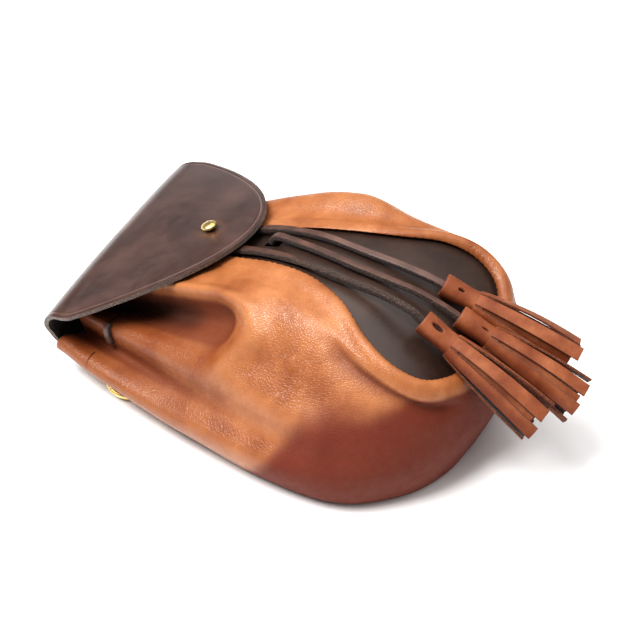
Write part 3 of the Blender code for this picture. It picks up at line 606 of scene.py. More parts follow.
def outwardWay(face, at, down, step):
    # the way that a face looks at each spot, over a step to either side
    along = face(at + step, down) - face(at - step, down)
    across = face(at, np.minimum(down + step, 1)) - face(at, np.maximum(down - step, 0))
    return unit(np.cross(across, along))


def outerFace(at, down):
    fade = np.clip((down - pouchShape["rollShare"]) / pouchShape["fadeBelowRoll"], 0, 1)
    fade = fade * np.clip((1 - down) / pouchShape["fadeAboveFoot"], 0, 1)
    lift = (foldOffset(at, down) * fade)[..., None]
    return smoothFace(at, down) + outwardWay(smoothFace, at, down, 0.01) * lift


def panelHeight(x, y):
    s = sectionAt(np.linspace(0, len(sections) - 1, 121))
    order = np.argsort(s["rimY"])
    rimZ = np.interp(y / pouchShape["length"], s["rimY"][order], s["rimZ"][order]) * pouchShape["crest"]
    rimX = np.interp(y / pouchShape["length"], s["rimY"][order], -s["rimX"][order]) * pouchShape["width"] / 2
    widest = -path[:, 0].min() * pouchShape["width"] / 2
    share = np.clip(1 - (x / np.maximum(rimX, pouchShape["gap"])) ** 2, 0, 1)
    return rimZ + pouchShape["panelCrown"] * rimX / widest * share


# laces, cut square from lace leather and threaded through the panel: the way each one lies
laceLook = {
    "width": 4.4 * mm, "thickness": 3.1 * mm, "corner": 0.5 * mm, "spacing": 1.6 * mm,
    "wobble": 0.18 * mm, "wobbleSize": 9 * mm, "nap": 0.14 * mm, "napSize": 1.1 * mm, "intoTassel": 13 * mm,
    "routes": {
        "near": (
            (-0.0088, 0.0660, 0.0639), (-0.0088, 0.0500, 0.0712), (-0.0092, 0.0340, 0.0772),
            (-0.0100, 0.0180, 0.0826), (-0.0127, -0.0020, 0.0882), (-0.0164, -0.0200, 0.0913),
            (-0.0186, -0.0410, 0.0928), (-0.0194, -0.0580, 0.0934), (-0.0212, -0.0754, 0.0922),
            (-0.0216, -0.0830, 0.0883),
        ),
        "centre": (
            (0.0017, 0.0176, 0.0800), (0.0017, 0.0170, 0.0836), (0.0015, 0.0130, 0.0868),
            (0.0000, 0.0020, 0.0886), (-0.0034, -0.0140, 0.0919), (-0.0062, -0.0340, 0.0932),
            (-0.0056, -0.0560, 0.0914), (-0.0040, -0.0720, 0.0890), (-0.0025, -0.0867, 0.0839),
            (-0.0020, -0.0940, 0.0808),
        ),
        "far": (
            (0.0088, 0.0660, 0.0639), (0.0089, 0.0500, 0.0712), (0.0096, 0.0360, 0.0766),
            (0.0108, 0.0220, 0.0818), (0.0112, 0.0080, 0.0858), (0.0086, -0.0120, 0.0912),
            (0.0065, -0.0380, 0.0928), (0.0072, -0.0560, 0.0920), (0.0088, -0.0715, 0.0891),
            (0.0099, -0.0789, 0.0865),
        ),
    },
    "tasselEnds": {
        "near": (-0.0225, -0.1508, 0.0545), "centre": (0.0030, -0.1610, 0.0520),
        "far": (0.0210, -0.1490, 0.0600),
    },
    # degrees that each lace has turned over by its end, and where along it the turn lies
    "turns": {"near": (80, 0.38, 0.60), "centre": (8, 0.1, 0.9), "far": (-10, 0.2, 0.9)},
    "facesMouth": 0.08,  # over this share of the centre one, its top turns from the mouth to face up
}


def laceLine(side):
    # the lace's centreline over the panel and on into its tassel's head
    route = np.array(laceLook["routes"][side])
    fine = curveThrough(route, np.linspace(0, len(route) - 1, 401))
    way = unit(np.array(laceLook["tasselEnds"][side]) - fine[-1])
    inside = fine[-1] + way * np.linspace(0.02, 1, 40)[:, None] * laceLook["intoTassel"]
    return evenly(np.vstack([fine, inside]), laceLook["spacing"])


def sweepLace(name, line, ups, turn, size, finishes, nodes, seed):
    # a square-cut strip along a line: its flat top faces ups, turned by an angle at each point
    tangent = unit(np.gradient(line, axis=0))
    side = unit(np.cross(tangent, ups))
    top = np.cross(side, tangent)
    turn = np.radians(turn)[:, None]
    side, top = side * np.cos(turn) + top * np.sin(turn), top * np.cos(turn) - side * np.sin(turn)
    w, h, c = size[0] / 2, size[1] / 2, laceLook["corner"]
    ring = [(-w + c, h), (-w / 2, h), (0, h), (w / 2, h), (w - c, h), (w, h - c), (w, 0), (w, c - h),
            (w - c, -h), (w / 2, -h), (0, -h), (-w / 2, -h), (c - w, -h), (-w, c - h), (-w, 0), (-w, h - c)]
    sideKinds = [0] * 4 + [1] * 12
    points = np.array([line + side * u + top * v for u, v in ring]).transpose(1, 0, 2)
    outward = unit(points - line[:, None])
    rough = np.array([0.0] * 4 + [0.3] + [1.0] * 10 + [0.3])  # the top is smooth, the cut sides are fibrous
    nap = softNoise(points, laceLook["napSize"], seed) * rough * laceLook["nap"]
    points += outward * nap[..., None]
    points += outward * (softNoise(points, laceLook["wobbleSize"], seed + 5) * laceLook["wobble"])[..., None]
    index = numbered(points)
    faces = closedFaces(index) + [tuple(index[0][::-1]), tuple(index[-1])]
    kinds = sideKinds * (len(index) - 1) + [1, 1]
    piece = newPiece(name, points.reshape(-1, 3), faces, finishes, nodes, kinds)
    crease = piece.modifiers.new("round", "SUBSURF")
    crease.levels = crease.render_levels = 1
    return piece


thongs = {}
for number, side in enumerate(("near", "centre", "far")):
    line, length = laceLine(side)
    turned, start, end = laceLook["turns"][side]
    share = np.linspace(0, 1, len(line))
    turn = turned * smoothStep(share, start, end)
    ups = np.tile((0.0, 0.0, 1.0), (len(line), 1))
    if side == "centre":  # it comes up out of its slot, so its top faces the mouth there
        upright = smoothStep(share, 0, laceLook["facesMouth"])[:, None]
        ups = ups * upright + np.array((0, 1.0, 0)) * (1 - upright)
    size = laceLook["width"], laceLook["thickness"]
    piece = sweepLace(f"thong{side.capitalize()}", line, ups, turn, size, (laceLeather, laceFlesh),
                      (f"thong_{side}",), number)
    thongs[side] = (piece, line, length)
print("stage: laces swept")

# tassels: a fringed strip of leather rolled round the lace's end
tasselLook = {
    "headLength": 23 * mm, "headRadius": 6.8 * mm, "leather": 1.25 * mm, "turns": 1.7,
    "shape": ((0.0, 0.97), (0.04, 1.02), (0.30, 0.98), (0.60, 0.92), (0.80, 0.96), (1.0, 1.05)),
    "outerStrips": 6, "innerStrips": 5, "flare": 4.8 * mm, "stripGap": 0.25 * mm, "droop": 2.0 * mm,
    # the slot in each head: length, width, how far down the head, degrees round from its top
    "slots": {"near": (7.0 * mm, 3.0 * mm, 0.34, 16), "centre": (4.0 * mm, 0.9 * mm, 0.62, 20),
              "far": (3.6 * mm, 1.8 * mm, 0.40, 24)},
    "slotDepth": 1.3 * mm, "betweenTurns": 0.12 * mm, "firstTurn": -0.55 * math.pi,
    "rimNap": 0.25 * mm, "rimNapSize": 0.7 * mm, "rimNapReach": 0.8 * mm, "edgeBevel": 0.18 * mm,
    "firstStrip": {"near": 0.30, "centre": 0.12, "far": 0.40},
    # a strip leaves the head at this share of it, stands off it, widens, and is flat by a share of its length
    "root": 0.80, "standOff": 0.25 * mm, "widening": 0.22, "flatBy": 0.7,
    # chance in each strip: how far it leans round the tassel and curls, in radians, and lifts, waves and ends
    "lean": 0.09, "curl": 0.22, "lift": 0.7 * mm, "wave": 0.5 * mm, "uneven": 0.9 * mm,
}


def tasselHead(start, axes, slot):
    # the rolled head: a spiral of leather, its turns seen at the top end, with a slot sunk into it
    look = tasselLook
    down, out, side = axes
    slotLength, slotWidth, slotAt, slotTurn = slot
    angles = np.linspace(0, math.tau * look["turns"], round(100 * look["turns"]))
    radii = look["headRadius"] - look["leather"] / 2
    radii = radii - (look["leather"] + look["betweenTurns"]) * angles / math.tau
    stations = np.linspace(0, 1, 57)
    places, sizes = np.array(look["shape"]).T
    scale = curveThrough(sizes[:, None], np.interp(stations, places, np.arange(len(places))))[:, 0]
    first = look["firstTurn"]
    turned = angles + first - math.radians(slotTurn)
    rows, slotShade = [], []
    for share, size in zip(stations, scale):
        centre = start + down * look["headLength"] * share
        around = np.stack([angles * look["headRadius"], 0 * angles, 0 * angles], -1)
        nap = softNoise(around, look["rimNapSize"], 31) * look["rimNap"]
        nap = nap * math.exp(-share * look["headLength"] / look["rimNapReach"])
        along = (share - slotAt) * look["headLength"] / (slotLength / 2)
        across = turned * look["headRadius"] / (slotWidth / 2)
        inSlot = 1 - smoothStep(np.hypot(along, across), 0.75, 1.15)
        for offset in (look["leather"] / 2, -look["leather"] / 2):
            reach = (radii + offset) * np.where(radii + offset > 0, size, 1) - inSlot * look["slotDepth"]
            rows.append(centre + down * nap[:, None] + out * (reach * np.cos(angles + first))[:, None]
                        + side * (reach * np.sin(angles + first))[:, None])
            slotShade.append(inSlot)
    grid = np.array(rows).reshape(len(stations), 2, len(angles), 3)
    index = numbered(grid)
    faces, kinds = [], []
    for i in range(len(stations) - 1):
        for k in range(len(angles) - 1):
            faces.append((index[i, 0, k], index[i + 1, 0, k], index[i + 1, 0, k + 1], index[i, 0, k + 1]))
            faces.append((index[i, 1, k + 1], index[i + 1, 1, k + 1], index[i + 1, 1, k], index[i, 1, k]))
            kinds += [0, 2]
        for k, flip in ((0, 1), (len(angles) - 1, -1)):
            faces.append((index[i, 0, k], index[i, 1, k], index[i + 1, 1, k], index[i + 1, 0, k])[::flip])
            kinds.append(1)
    for k in range(len(angles) - 1):
        faces.append((index[0, 0, k], index[0, 0, k + 1], index[0, 1, k + 1], index[0, 1, k]))
        faces.append((index[-1, 0, k], index[-1, 1, k], index[-1, 1, k + 1], index[-1, 0, k + 1]))
        kinds += [1, 1]
    return grid.reshape(-1, 3), faces, kinds, np.array(slotShade).ravel()


def tasselStrip(start, axes, angle, radius, width, length, flare, droop, seed):
    # one strip of the fringe: curved like the head at its root, flat by its end
    look = tasselLook
    down, out, side = axes
    across = np.linspace(-1, 1, 7)
    chance = np.random.default_rng(seed)
    lean, curl, lift, wave = chance.normal(0, 1, 4)
    stations = np.linspace(0, 1, 25)
    root = look["root"] * look["headLength"]
    rows = []
    for t in stations:
        bend = 1 - smoothStep(t, 0.0, look["flatBy"])  # how far it still follows the head's round
        reach = radius + look["standOff"] + flare * (t ** 0.75) + look["lift"] * lift * t * t
        reach += look["wave"] * wave * math.sin(math.pi * t)
        here = angle + look["lean"] * lean * t
        outward = out * math.cos(here) + side * math.sin(here)
        sideways = side * math.cos(here) - out * math.sin(here)
        centre = start + down * (root + (length - root) * t) + outward * reach + droop * t * t
        roll = look["curl"] * curl * t
        flatWay = sideways * math.cos(roll) + outward * math.sin(roll)
        upWay = outward * math.cos(roll) - sideways * math.sin(roll)
        half = width / 2 * (1 + look["widening"] * t)
        for offset, ways in ((look["leather"] / 2, across), (-look["leather"] / 2, across[::-1])):
            for u in ways:
                sag = (0.25 + 0.75 * bend) * radius * (1 - math.cos(u * width / 2 / radius))
                rows.append(centre + flatWay * u * half * (1 - 0.05 * (offset < 0)) + upWay * (offset - sag))
    grid = np.array(rows).reshape(len(stations), 2 * len(across), 3)
    index = numbered(grid)
    faces = [face[::-1] for face in closedFaces(index)] + [tuple(index[0]), tuple(index[-1][::-1])]
    wide = len(across) - 1
    kinds = ([0] * wide + [1] + [2] * wide + [1]) * (len(stations) - 1) + [1, 1]
    return grid.reshape(-1, 3), faces, kinds, np.zeros(grid[..., 0].size)


def makeTassel(side):
    look = tasselLook
    _, line, _ = thongs[side]
    route = np.array(laceLook["routes"][side])
    end = np.array(laceLook["tasselEnds"][side])
    way = unit(end - route[-1])
    start = route[-1] + way * pouchShape["gap"]
    length = np.linalg.norm(end - start)
    out = unit(np.array((0, 0, 1.0)) - way * way[2])
    axes = (way, out, np.cross(way, out))
    droop = -out * look["droop"]
    parts = [tasselHead(start, axes, look["slots"][side])]
    outer = look["headRadius"] - look["leather"] / 2 - 0.1 * mm
    inner = outer - look["leather"] - 0.2 * mm
    chance = np.random.default_rng({"near": 11, "centre": 12, "far": 13}[side])
    for count, radius, share, flare in ((look["outerStrips"], outer, 1.0, look["flare"]),
                                        (look["innerStrips"], inner, 0.97, look["flare"] * 0.6)):
        width = math.tau * radius / count - look["stripGap"]
        for k in range(count):
            angle = math.tau * (k + look["firstStrip"][side] + 0.5 * (count == look["innerStrips"])) / count
            reach = length * share + chance.normal(0, look["uneven"])
            parts.append(tasselStrip(start, axes, angle, radius, width, reach, flare, droop,
                                     int(chance.integers(1 << 30))))
    points, faces, kinds, slotShade = [], [], [], []
    for partPoints, partFaces, partKinds, partSlotShade in parts:
        faces += [tuple(n + len(points) for n in face) for face in partFaces]
        points += list(partPoints)
        kinds += partKinds
        slotShade += list(partSlotShade)
    piece = newPiece(f"tassel{side.capitalize()}", points, faces, (tasselLeather, tasselCut, tasselFlesh),
                     (f"tassel_{side}",), kinds)
    # painted shade: the sunk slot drawn nearly black
    giveValues(piece, "slot", slotShade)
    # painted shade: the leather is drawn darker round the sides, where the tassel turns away from above
    spots = np.array(points) - start
    away = spots - np.outer(spots @ way, way)
    away /= np.linalg.norm(away, axis=1, keepdims=True) + 1e-9
    giveValues(piece, "lowSide", smoothStep(0.75 - away @ out, 0.0, 1.0))
    soften(piece, look["edgeBevel"], 1, 50)
    piece.data.set_sharp_from_angle(angle=math.radians(50))
    return piece


for side in ("near", "centre", "far"):
    tassel = makeTassel(side)
    piece, line, length = thongs[side]
print("stage: tassels rolled")

# the body: side leather gathered to the mouth and rolled over the panel's edge, and the flat back
bodyLook = {
    "columns": 320, "rows": 132, "backSpans": 40,
    "puckerPitch": 3.3 * mm, "puckerDepth": 0.28 * mm,
    "swellSize": 24 * mm, "swell": 0.45 * mm, "rippleSize": 9 * mm, "ripple": 0.16 * mm,
    # shares down the side over which swellings and creases come in below the roll, and go out at the foot
    "comesIn": 0.08, "goesOut": (0.93, 1.0), "puckersEnd": 0.10,
    # how often the hollow behind the roll is smoothed away, where, and between which sections
    "smoothings": 90, "smoothAt": 0.165, "smoothWidth": 0.055,
    "smoothFrom": (4.2, 6.0), "smoothTo": (9.6, 10.6),
    # painted shade where the side turns under: its upper border, as (section, share down)
    "underShadeBorder": ((0.0, 0.97), (4.6, 0.90), (5.2, 0.76), (5.6, 0.665), (6.0, 0.585), (6.5, 0.545),
                   (7.5, 0.510), (8.3, 0.430), (9.0, 0.290), (9.7, 0.225), (12.0, 0.215)),
    # where the leather is finely wrinkled: section, share down, reach in sections and in share
    "wrinkled": ((3.0, 0.625, 2.2, 0.06), (5.2, 0.30, 0.9, 0.06), (4.8, 0.70, 2.6, 0.04)),
    "borderFade": (-0.065, 0.085), "foldFull": 6 * mm,  # a fold this high or deep takes its full colour
    # painted shade: the leather beside the mouth is drawn darker, from these places along the pouch and
    # shares down
    "mouthShadeAlong": (-0.070, 0.050), "mouthShadeDown": (0.42, 0.55), "mouthShade": 0.55,
    # painted shade: the deep fold under the flap drawn nearly black
    "recess": ((0, 0.515), (1.6, 0.512), (3.3, 0.500)), "recessWidth": 6 * mm, "recessFade": (0.70, 1.0),
    # painted shade along the crease under the rolled rim: share down, its reach, and the sections where it
    # comes in and goes out
    "rimCrease": (0.375, 0.03), "creaseFrom": (6.2, 7.4), "creaseTo": (9.0, 10.0),
    # on the back: its share of painted valley shade and of dulling, and its share of painted under shade;
    # then how far the valleys dull the leather
    "backTone": 0.2, "backUnderShade": 0.3, "valleyDulls": 0.8,
    # finer creases: side, depth in mm (below 0 for a groove), width in mm, stops of (section, share down)
    "creases": (
        ("near", -0.6, 1.6, ((6.6, 0.640), (6.9, 0.660), (7.2, 0.640))),
        ("near", 0.5, 2.2, ((1.0, 0.700), (3.0, 0.690), (5.2, 0.672))),
        ("near", -0.5, 1.5, ((0.8, 0.560), (2.4, 0.556), (4.0, 0.560))),
        ("near", -0.4, 1.6, ((2.2, 0.480), (3.2, 0.462), (3.9, 0.480))),
        ("near", 0.35, 1.8, ((4.6, 0.300), (5.2, 0.340), (5.6, 0.400))),
        ("near", -0.35, 1.4, ((4.4, 0.290), (4.9, 0.350), (5.2, 0.420))),
    ),
}


def spreadOut(values, share, times):
    # evens values out along each row of points, by a share of the step each time
    for _ in range(times):
        middles = (values[:, :-2] + values[:, 2:]) / 2
        values[:, 1:-1] += share[:, 1:-1] * (middles - values[:, 1:-1])
    return values


def makeBody():
    look = bodyLook
    rows = np.linspace(0, 1, look["rows"] + 1)
    at = np.linspace(0, lastSection, look["columns"] + 1)[:, None]
    down = rows[None]
    grid = outerFace(at, down)
    fromMouth = np.minimum(at, lastSection - at)
    share = smoothStep(fromMouth, *look["smoothFrom"]) * (1 - smoothStep(fromMouth, *look["smoothTo"]))
    share = share * np.exp(-(((down - look["smoothAt"]) / look["smoothWidth"]) ** 2))
    grid = spreadOut(grid, 0.5 * share[..., None], look["smoothings"])
    normal = np.cross(np.gradient(grid, axis=1), np.gradient(grid, axis=0))
    normal /= np.linalg.norm(normal, axis=-1, keepdims=True) + 1e-12
    roll = pouchShape["rollShare"]
    onSide = smoothStep(down, roll, roll + look["comesIn"]) * (1 - smoothStep(down, *look["goesOut"]))
    offset = softNoise(grid, look["swellSize"], 1) * look["swell"] * onSide
    offset += softNoise(grid * (1, 0.6, 1), look["rippleSize"], 2) * look["ripple"] * onSide
    for side, depth, width, route in look["creases"]:
        nearest, along = routeDistance(at, down, side, route)
        fading = np.sin(math.pi * np.clip(along, 0.02, 0.98)) ** 0.5
        offset += depth * mm * np.exp(-((nearest / (width * mm)) ** 2)) * fading * onSide
    rim = grid[:, 0]
    run = np.concatenate([[0], np.cumsum(np.linalg.norm(np.diff(rim, axis=0), axis=1))])
    pucker = np.cos(math.tau * run / look["puckerPitch"])[:, None]
    pucker = pucker * (1 - smoothStep(down, 0.0, look["puckersEnd"]))
    offset = offset + look["puckerDepth"] * pucker
    grid = grid + normal * offset[..., None]
    index = numbered(grid)
    points = list(grid.reshape(-1, 3))
    faces = gridFaces(index)

    count, spans = look["columns"], look["backSpans"]
    half = count // 2
    backIndex = np.zeros((half, spans + 1), int)
    backPoints = []
    dipReach = pouchShape["mouthDipRows"] * count / (4 * (len(sections) - 1))
    for i in range(half):
        near, far = grid[i, -1], grid[-1 - i, -1]
        backIndex[i, 0], backIndex[i, -1] = index[i, -1], index[-1 - i, -1]
        dip = pouchShape["mouthDip"] * max(0, 1 - i / dipReach)
        for k in range(1, spans):
            x, y = (near + (far - near) * k / spans)[:2]
            y -= dip * (1 - (2 * k / spans - 1) ** pouchShape["mouthDipSquareness"])
            backIndex[i, k] = len(points)
            spot = (x, y, backHeight(y))
            points.append(spot)
            backPoints.append(spot)
    faces += gridFaces(backIndex)
    faces += [(backIndex[-1, k], backIndex[-1, k + 1], index[half, -1]) for k in range(spans)]
    body = newPiece("pouchBody", points, faces, (tanLeather, tanFlesh), ("pouch_body",))

    # numbers by which the calf is coloured, mostly painted shade, on the side and then all over the back
    lift = foldOffset(at, down) * onSide / look["foldFull"]
    valley, ridge = np.clip(-lift, 0, 1), np.clip(lift, 0, 1)
    mouthShade = smoothStep(grid[..., 1], *look["mouthShadeAlong"]) * smoothStep(down, *look["mouthShadeDown"])
    # painted shade below a border, where the side turns under
    border = np.interp(fromMouth, *np.array(look["underShadeBorder"]).T)
    under = smoothStep(down - border, *look["borderFade"])
    creaseAt, creaseReach = look["rimCrease"]
    creaseShade = np.exp(-(((down - creaseAt) / creaseReach) ** 2)) * smoothStep(fromMouth, *look["creaseFrom"])
    creaseShade = creaseShade * (1 - smoothStep(fromMouth, *look["creaseTo"]))
    wrinkled = sum(np.exp(-(((fromMouth - middleAt) / reachAt) ** 2) - ((down - middleDown) / reachDown) ** 2)
                   for middleAt, middleDown, reachAt, reachDown in look["wrinkled"])
    nearest, along = routeDistance(at, down, "near", look["recess"])
    recess = np.exp(-((nearest / look["recessWidth"]) ** 2)) * (1 - smoothStep(along, *look["recessFade"]))
    tone = look["backTone"]
    zones = (
        ("valley", np.maximum(valley, mouthShade * look["mouthShade"]), tone),
        ("ridge", ridge, 0),
        ("under", under, look["backUnderShade"]),
        ("dull", np.clip(under + look["valleyDulls"] * valley, 0, 1), tone),
        ("wrinkled", np.clip(wrinkled, 0, 1), 0),
        ("rimCrease", creaseShade, 0),
        ("recess", recess, 0),
    )
    for name, onSides, onBack in zones:
        giveValues(body, name, np.concatenate([onSides.ravel(), np.full(len(backPoints), onBack)]))
    thicken(body, pouchShape["bodyLeather"], 1, 1, False)
    return body


makeBody()
print("stage: body gathered")

# the front panel: stiff dark leather under the body's rolled edge, with a slot for the centre lace
panelLook = {
    "columns": 240, "rows": 22, "swell": 0.35 * mm, "swellSize": 34 * mm,
    "slotLength": 9 * mm, "slotWidth": 5.2 * mm, "slotCut": 10 * mm, "slotBehindLace": 2 * mm,
}


def makePanel():
    look = panelLook
    at = np.linspace(0, lastSection, look["columns"] + 1)
    s = sectionAt(at)
    heading = np.radians(s["heading"])
    rim = np.stack([s["rimX"] * pouchShape["width"] / 2, s["rimY"] * pouchShape["length"],
                    s["rimZ"] * pouchShape["crest"]], -1)
    outWay = np.stack([-np.cos(heading), -np.sin(heading), np.zeros_like(heading)], -1)
    shares = np.linspace(0, 1, look["rows"] + 1)
    rows = [rim + outWay * pouchShape["panelTuck"]]
    for share in shares:
        x = rim[:, 0] * (1 - share)
        z = panelHeight(x, rim[:, 1])
        spot = np.stack([x, rim[:, 1], z], -1)
        spot[:, 2] += softNoise(spot, look["swellSize"], 8) * look["swell"] * share ** 0.5
        rows.append(spot)
    grid = np.array(rows).transpose(1, 0, 2)
    faces = [face[::-1] for face in gridFaces(numbered(grid))]
    panel = newPiece("frontPanel", grid.reshape(-1, 3), faces, (panelLeather, flapFlesh, flapCut),
                     ("front_panel",))
    mergeTouching(panel)
    thicken(panel, pouchShape["panelLeather"], 1, 2)
    x, y, z = laceLook["routes"]["centre"][0]
    slot = boxCutter((x, y + look["slotBehindLace"] - look["slotLength"] / 3, z),
                     (look["slotWidth"], look["slotLength"], look["slotCut"]), (0, 0, 0))
    cutAway(panel, [slot])
    panel.data.set_sharp_from_angle(angle=math.radians(40))


makePanel()
print("stage: panel laid in")

# the flap: a butt of bridle leather folded over the mouth, creased near its edge
flapLook = {
    "halfWidth": 77 * mm, "tailHalfWidth": 50 * mm,
    "narrowing": ((0, 0), (0.43, 0.15), (0.72, 0.37), (0.86, 1), (1, 1)),
    "front": 88 * mm, "square": 7 * mm, "roundness": 1.15, "tail": 15 * mm,
    "skew": 0.09, "straightensFrom": 0.55,
    "foldY": 103 * mm, "foldRadius": 22.5 * mm, "sag": 2 * mm, "slope": math.radians(21), "arch": 5 * mm,
    "leather": 2.6 * mm, "creaseInside": 3.0 * mm, "creaseWidth": 0.45 * mm, "creaseDepth": 0.32 * mm,
    "rag": 0.16 * mm, "ragSize": 1.8 * mm, "ragReach": 0.6 * mm, "swell": 0.5 * mm, "swellSize": 42 * mm,
    "edgeRounding": 0.35 * mm, "edgeReach": 0.8 * mm,
    # how far the wear round the stud's hole reaches, and between which distances the painted shadow ring
    # round the stud fades
    "stainReach": 9 * mm, "stain": 0.9, "studShadowFade": (3.2 * mm, 6.5 * mm),
    "studFromTip": 29 * mm, "studNeck": 4 * mm, "holePlay": 0.6 * mm, "slit": 8 * mm, "slitWidth": 1.2 * mm,
    "cutDepth": 12 * mm, "edgeBevel": 0.3 * mm, "rows": 64, "outlineSteps": 181,
    # distances from the edge at which its points lie, in mm
    "insets": (0, 0.35, 0.9, 1.6, 2.2, 2.5, 2.75, 3.0, 3.25, 3.5, 3.9, 4.6, 6, 8, 11, 15, 20, 26, 33, 41,
               50, 60, 70),
}


def flapArc():
    return flapLook["foldRadius"] * (math.pi - flapLook["slope"])


def flapSpot(run, x):
    # a point of the flap's outer face: run is the way from the fold's top to the tip, x from the middle
    look = flapLook
    bottom = backHeight(look["foldY"]) - pouchShape["gap"] - look["leather"] - look["sag"]
    tailEnd = backHeight(look["foldY"] - look["tail"]) - pouchShape["gap"] - look["leather"]
    arc = flapArc()
    angle = math.pi / 2 - look["slope"] + np.clip(run, -arc, 0) / look["foldRadius"]
    front, tail = np.maximum(run, 0), np.minimum(run + arc, 0)
    y = look["foldY"] + look["foldRadius"] * np.cos(angle) - front * math.cos(look["slope"]) + tail
    z = bottom + look["foldRadius"] * (1 + np.sin(angle)) + front * math.sin(look["slope"])
    z = z - (tailEnd - bottom) * tail / look["tail"]
    arched = np.clip(1 + 2 * run / arc, 0, 1)
    askew = look["skew"] * np.clip(1 - run / look["front"], 0, 1) ** 2
    askew = askew * np.clip((1 + run / arc) / (1 - look["straightensFrom"]), 0, 1)
    return np.stack([x, y + askew * x, z - look["arch"] * arched * (x / look["halfWidth"]) ** 2], -1)


def flapHalfWidth(run):
    look = flapLook
    share = np.clip((run - look["square"]) / (look["front"] - look["square"]), 0, 1)
    narrowed = np.interp(-run / flapArc(), *zip(*look["narrowing"]))
    tail = look["halfWidth"] + (look["tailHalfWidth"] - look["halfWidth"]) * narrowed
    return np.where(run > 0, look["halfWidth"] * np.sqrt(1 - share ** look["roundness"]), tail)


def makeFlap():
    look = flapLook
    insets = np.array(look["insets"]) * mm
    half, square = look["halfWidth"], look["square"]
    # the back, fold and straight start of the front: rows across
    runs = np.linspace(-flapArc() - look["tail"], square, look["rows"])
    width = flapHalfWidth(runs)[:, None]
    side = width - insets[None] * (width / half)
    x = np.concatenate([-side, np.zeros_like(width), side[:, ::-1]], 1)
    straight = flapSpot(np.repeat(runs[:, None], x.shape[1], 1), x)
    distance = np.repeat(np.concatenate([insets, [half], insets[::-1]])[None], len(runs), 0)
    points = list(straight.reshape(-1, 3))
    faces = [face[::-1] for face in gridFaces(numbered(straight))]
    values = list(distance.ravel())
    flat = list(np.stack([x, np.repeat(runs[:, None], x.shape[1], 1)], -1).reshape(-1, 2))
    # the rounded front: rings inside its outline
    turn = np.linspace(0, math.pi / 2, 200)
    share = np.sin(turn) ** (2 / look["roundness"])
    quarter = np.stack([half * np.cos(turn), square + (look["front"] - square) * share], -1)
    outline = np.vstack([quarter, (quarter * (-1, 1))[-2::-1]])
    run = np.concatenate([[0], np.cumsum(np.linalg.norm(np.diff(outline, axis=0), axis=1))])
    marks = np.linspace(0, run[-1], look["outlineSteps"])
    outline = np.stack([np.interp(marks, run, outline[:, k]) for k in range(2)], -1)
    way = np.gradient(outline, axis=0)
    facing = np.stack([way[:, 1], -way[:, 0]], -1) / np.linalg.norm(way, axis=1, keepdims=True)
    centre = np.array((0, square))
    reach = ((outline - centre) * facing).sum(1)
    reach[0] = reach[-1] = half
    rings = []
    for inset in insets:
        scale = 1 - inset / (reach + (half - reach) * smoothStep(inset, 20 * mm, half))
        rings.append(centre + (outline - centre) * scale[:, None])
    rings.append(np.repeat(centre[None], len(outline), 0))
    rings = np.array(rings).transpose(1, 0, 2)
    rounded = flapSpot(rings[..., 1], rings[..., 0])
    faces += gridFaces(numbered(rounded) + len(points))
    points += list(rounded.reshape(-1, 3))
    values += list(np.repeat(np.concatenate([insets, [half]])[None], len(outline), 0).ravel())
    flat += list(rings.reshape(-1, 2))

    points, values, flat = np.array(points), np.array(values), np.array(flat)
    edge = np.exp(-(values / look["ragReach"]) ** 2)
    ragged = np.stack([softNoise(points, look["ragSize"], 21), softNoise(points, look["ragSize"], 22),
                       0 * values], -1)
    points = points + ragged * (edge * look["rag"])[:, None]
    flapPiece = newPiece("flap", points, faces, (flapLeather, flapFlesh, flapCut), ("flap",))
    giveValues(flapPiece, "inset", values)
    hole = np.array((0, look["front"] - look["studFromTip"]))
    toHole = np.linalg.norm(flat - hole, axis=1)
    giveValues(flapPiece, "stain", np.exp(-(toHole / look["stainReach"]) ** 2) * look["stain"])
    # painted shadow of the stud: a nearly black ring round its hole
    giveValues(flapPiece, "contact", 1 - smoothStep(toHole, *look["studShadowFade"]))
    # painted highlight along the crease line
    giveValues(flapPiece, "creaseLine", np.exp(-((values - look["creaseInside"]) / look["creaseWidth"]) ** 2))
    mergeTouching(flapPiece)
    mesh = flapPiece.data
    places = np.zeros(len(mesh.vertices) * 3)
    normals = np.zeros(len(mesh.vertices) * 3)
    inset = np.zeros(len(mesh.vertices), np.float32)
    mesh.vertices.foreach_get("co", places)
    mesh.vertices.foreach_get("normal", normals)
    mesh.attributes["inset"].data.foreach_get("value", inset)
    places, normals = places.reshape(-1, 3), normals.reshape(-1, 3)
    push = softNoise(places, look["swellSize"], 23) * look["swell"] * smoothStep(inset, 0, 20 * mm)
    push -= look["creaseDepth"] * np.exp(-((inset - look["creaseInside"]) / look["creaseWidth"]) ** 2)
    push -= look["edgeRounding"] * np.exp(-(inset / look["edgeReach"]) ** 2)
    mesh.vertices.foreach_set("co", (places + normals * push[:, None]).ravel())
    thicken(flapPiece, look["leather"], 1, 2)

    tilt = (-look["slope"], 0, 0)
    spot = flapSpot(np.array(hole[1]), np.array(0.0))
    bpy.ops.mesh.primitive_cylinder_add(vertices=48, radius=look["studNeck"] / 2 + look["holePlay"],
                                        depth=look["cutDepth"], location=Vector(spot) - Vector(middle),
                                        rotation=tilt)
    buttonhole = bpy.context.active_object
    slitSpot = flapSpot(np.array(hole[1] - (look["slit"] + look["studNeck"]) / 2), np.array(0.0))
    slit = boxCutter(slitSpot, (look["slitWidth"], look["slit"], look["cutDepth"]), tilt, flapCut)
    cutAway(flapPiece, [buttonhole, slit])
    flapPiece.data.set_sharp_from_angle(angle=math.radians(45))
    soften(flapPiece, look["edgeBevel"], 2, 50)


makeFlap()
print("stage: flap folded")

# the button stud: turned brass, its domed head over the flap
studLook = {
    "head": 9 * mm, "headHeight": 4 * mm, "neck": 4 * mm, "foot": 10 * mm, "footThickness": 1.2 * mm,
    "chamfer": 0.2 * mm,
}


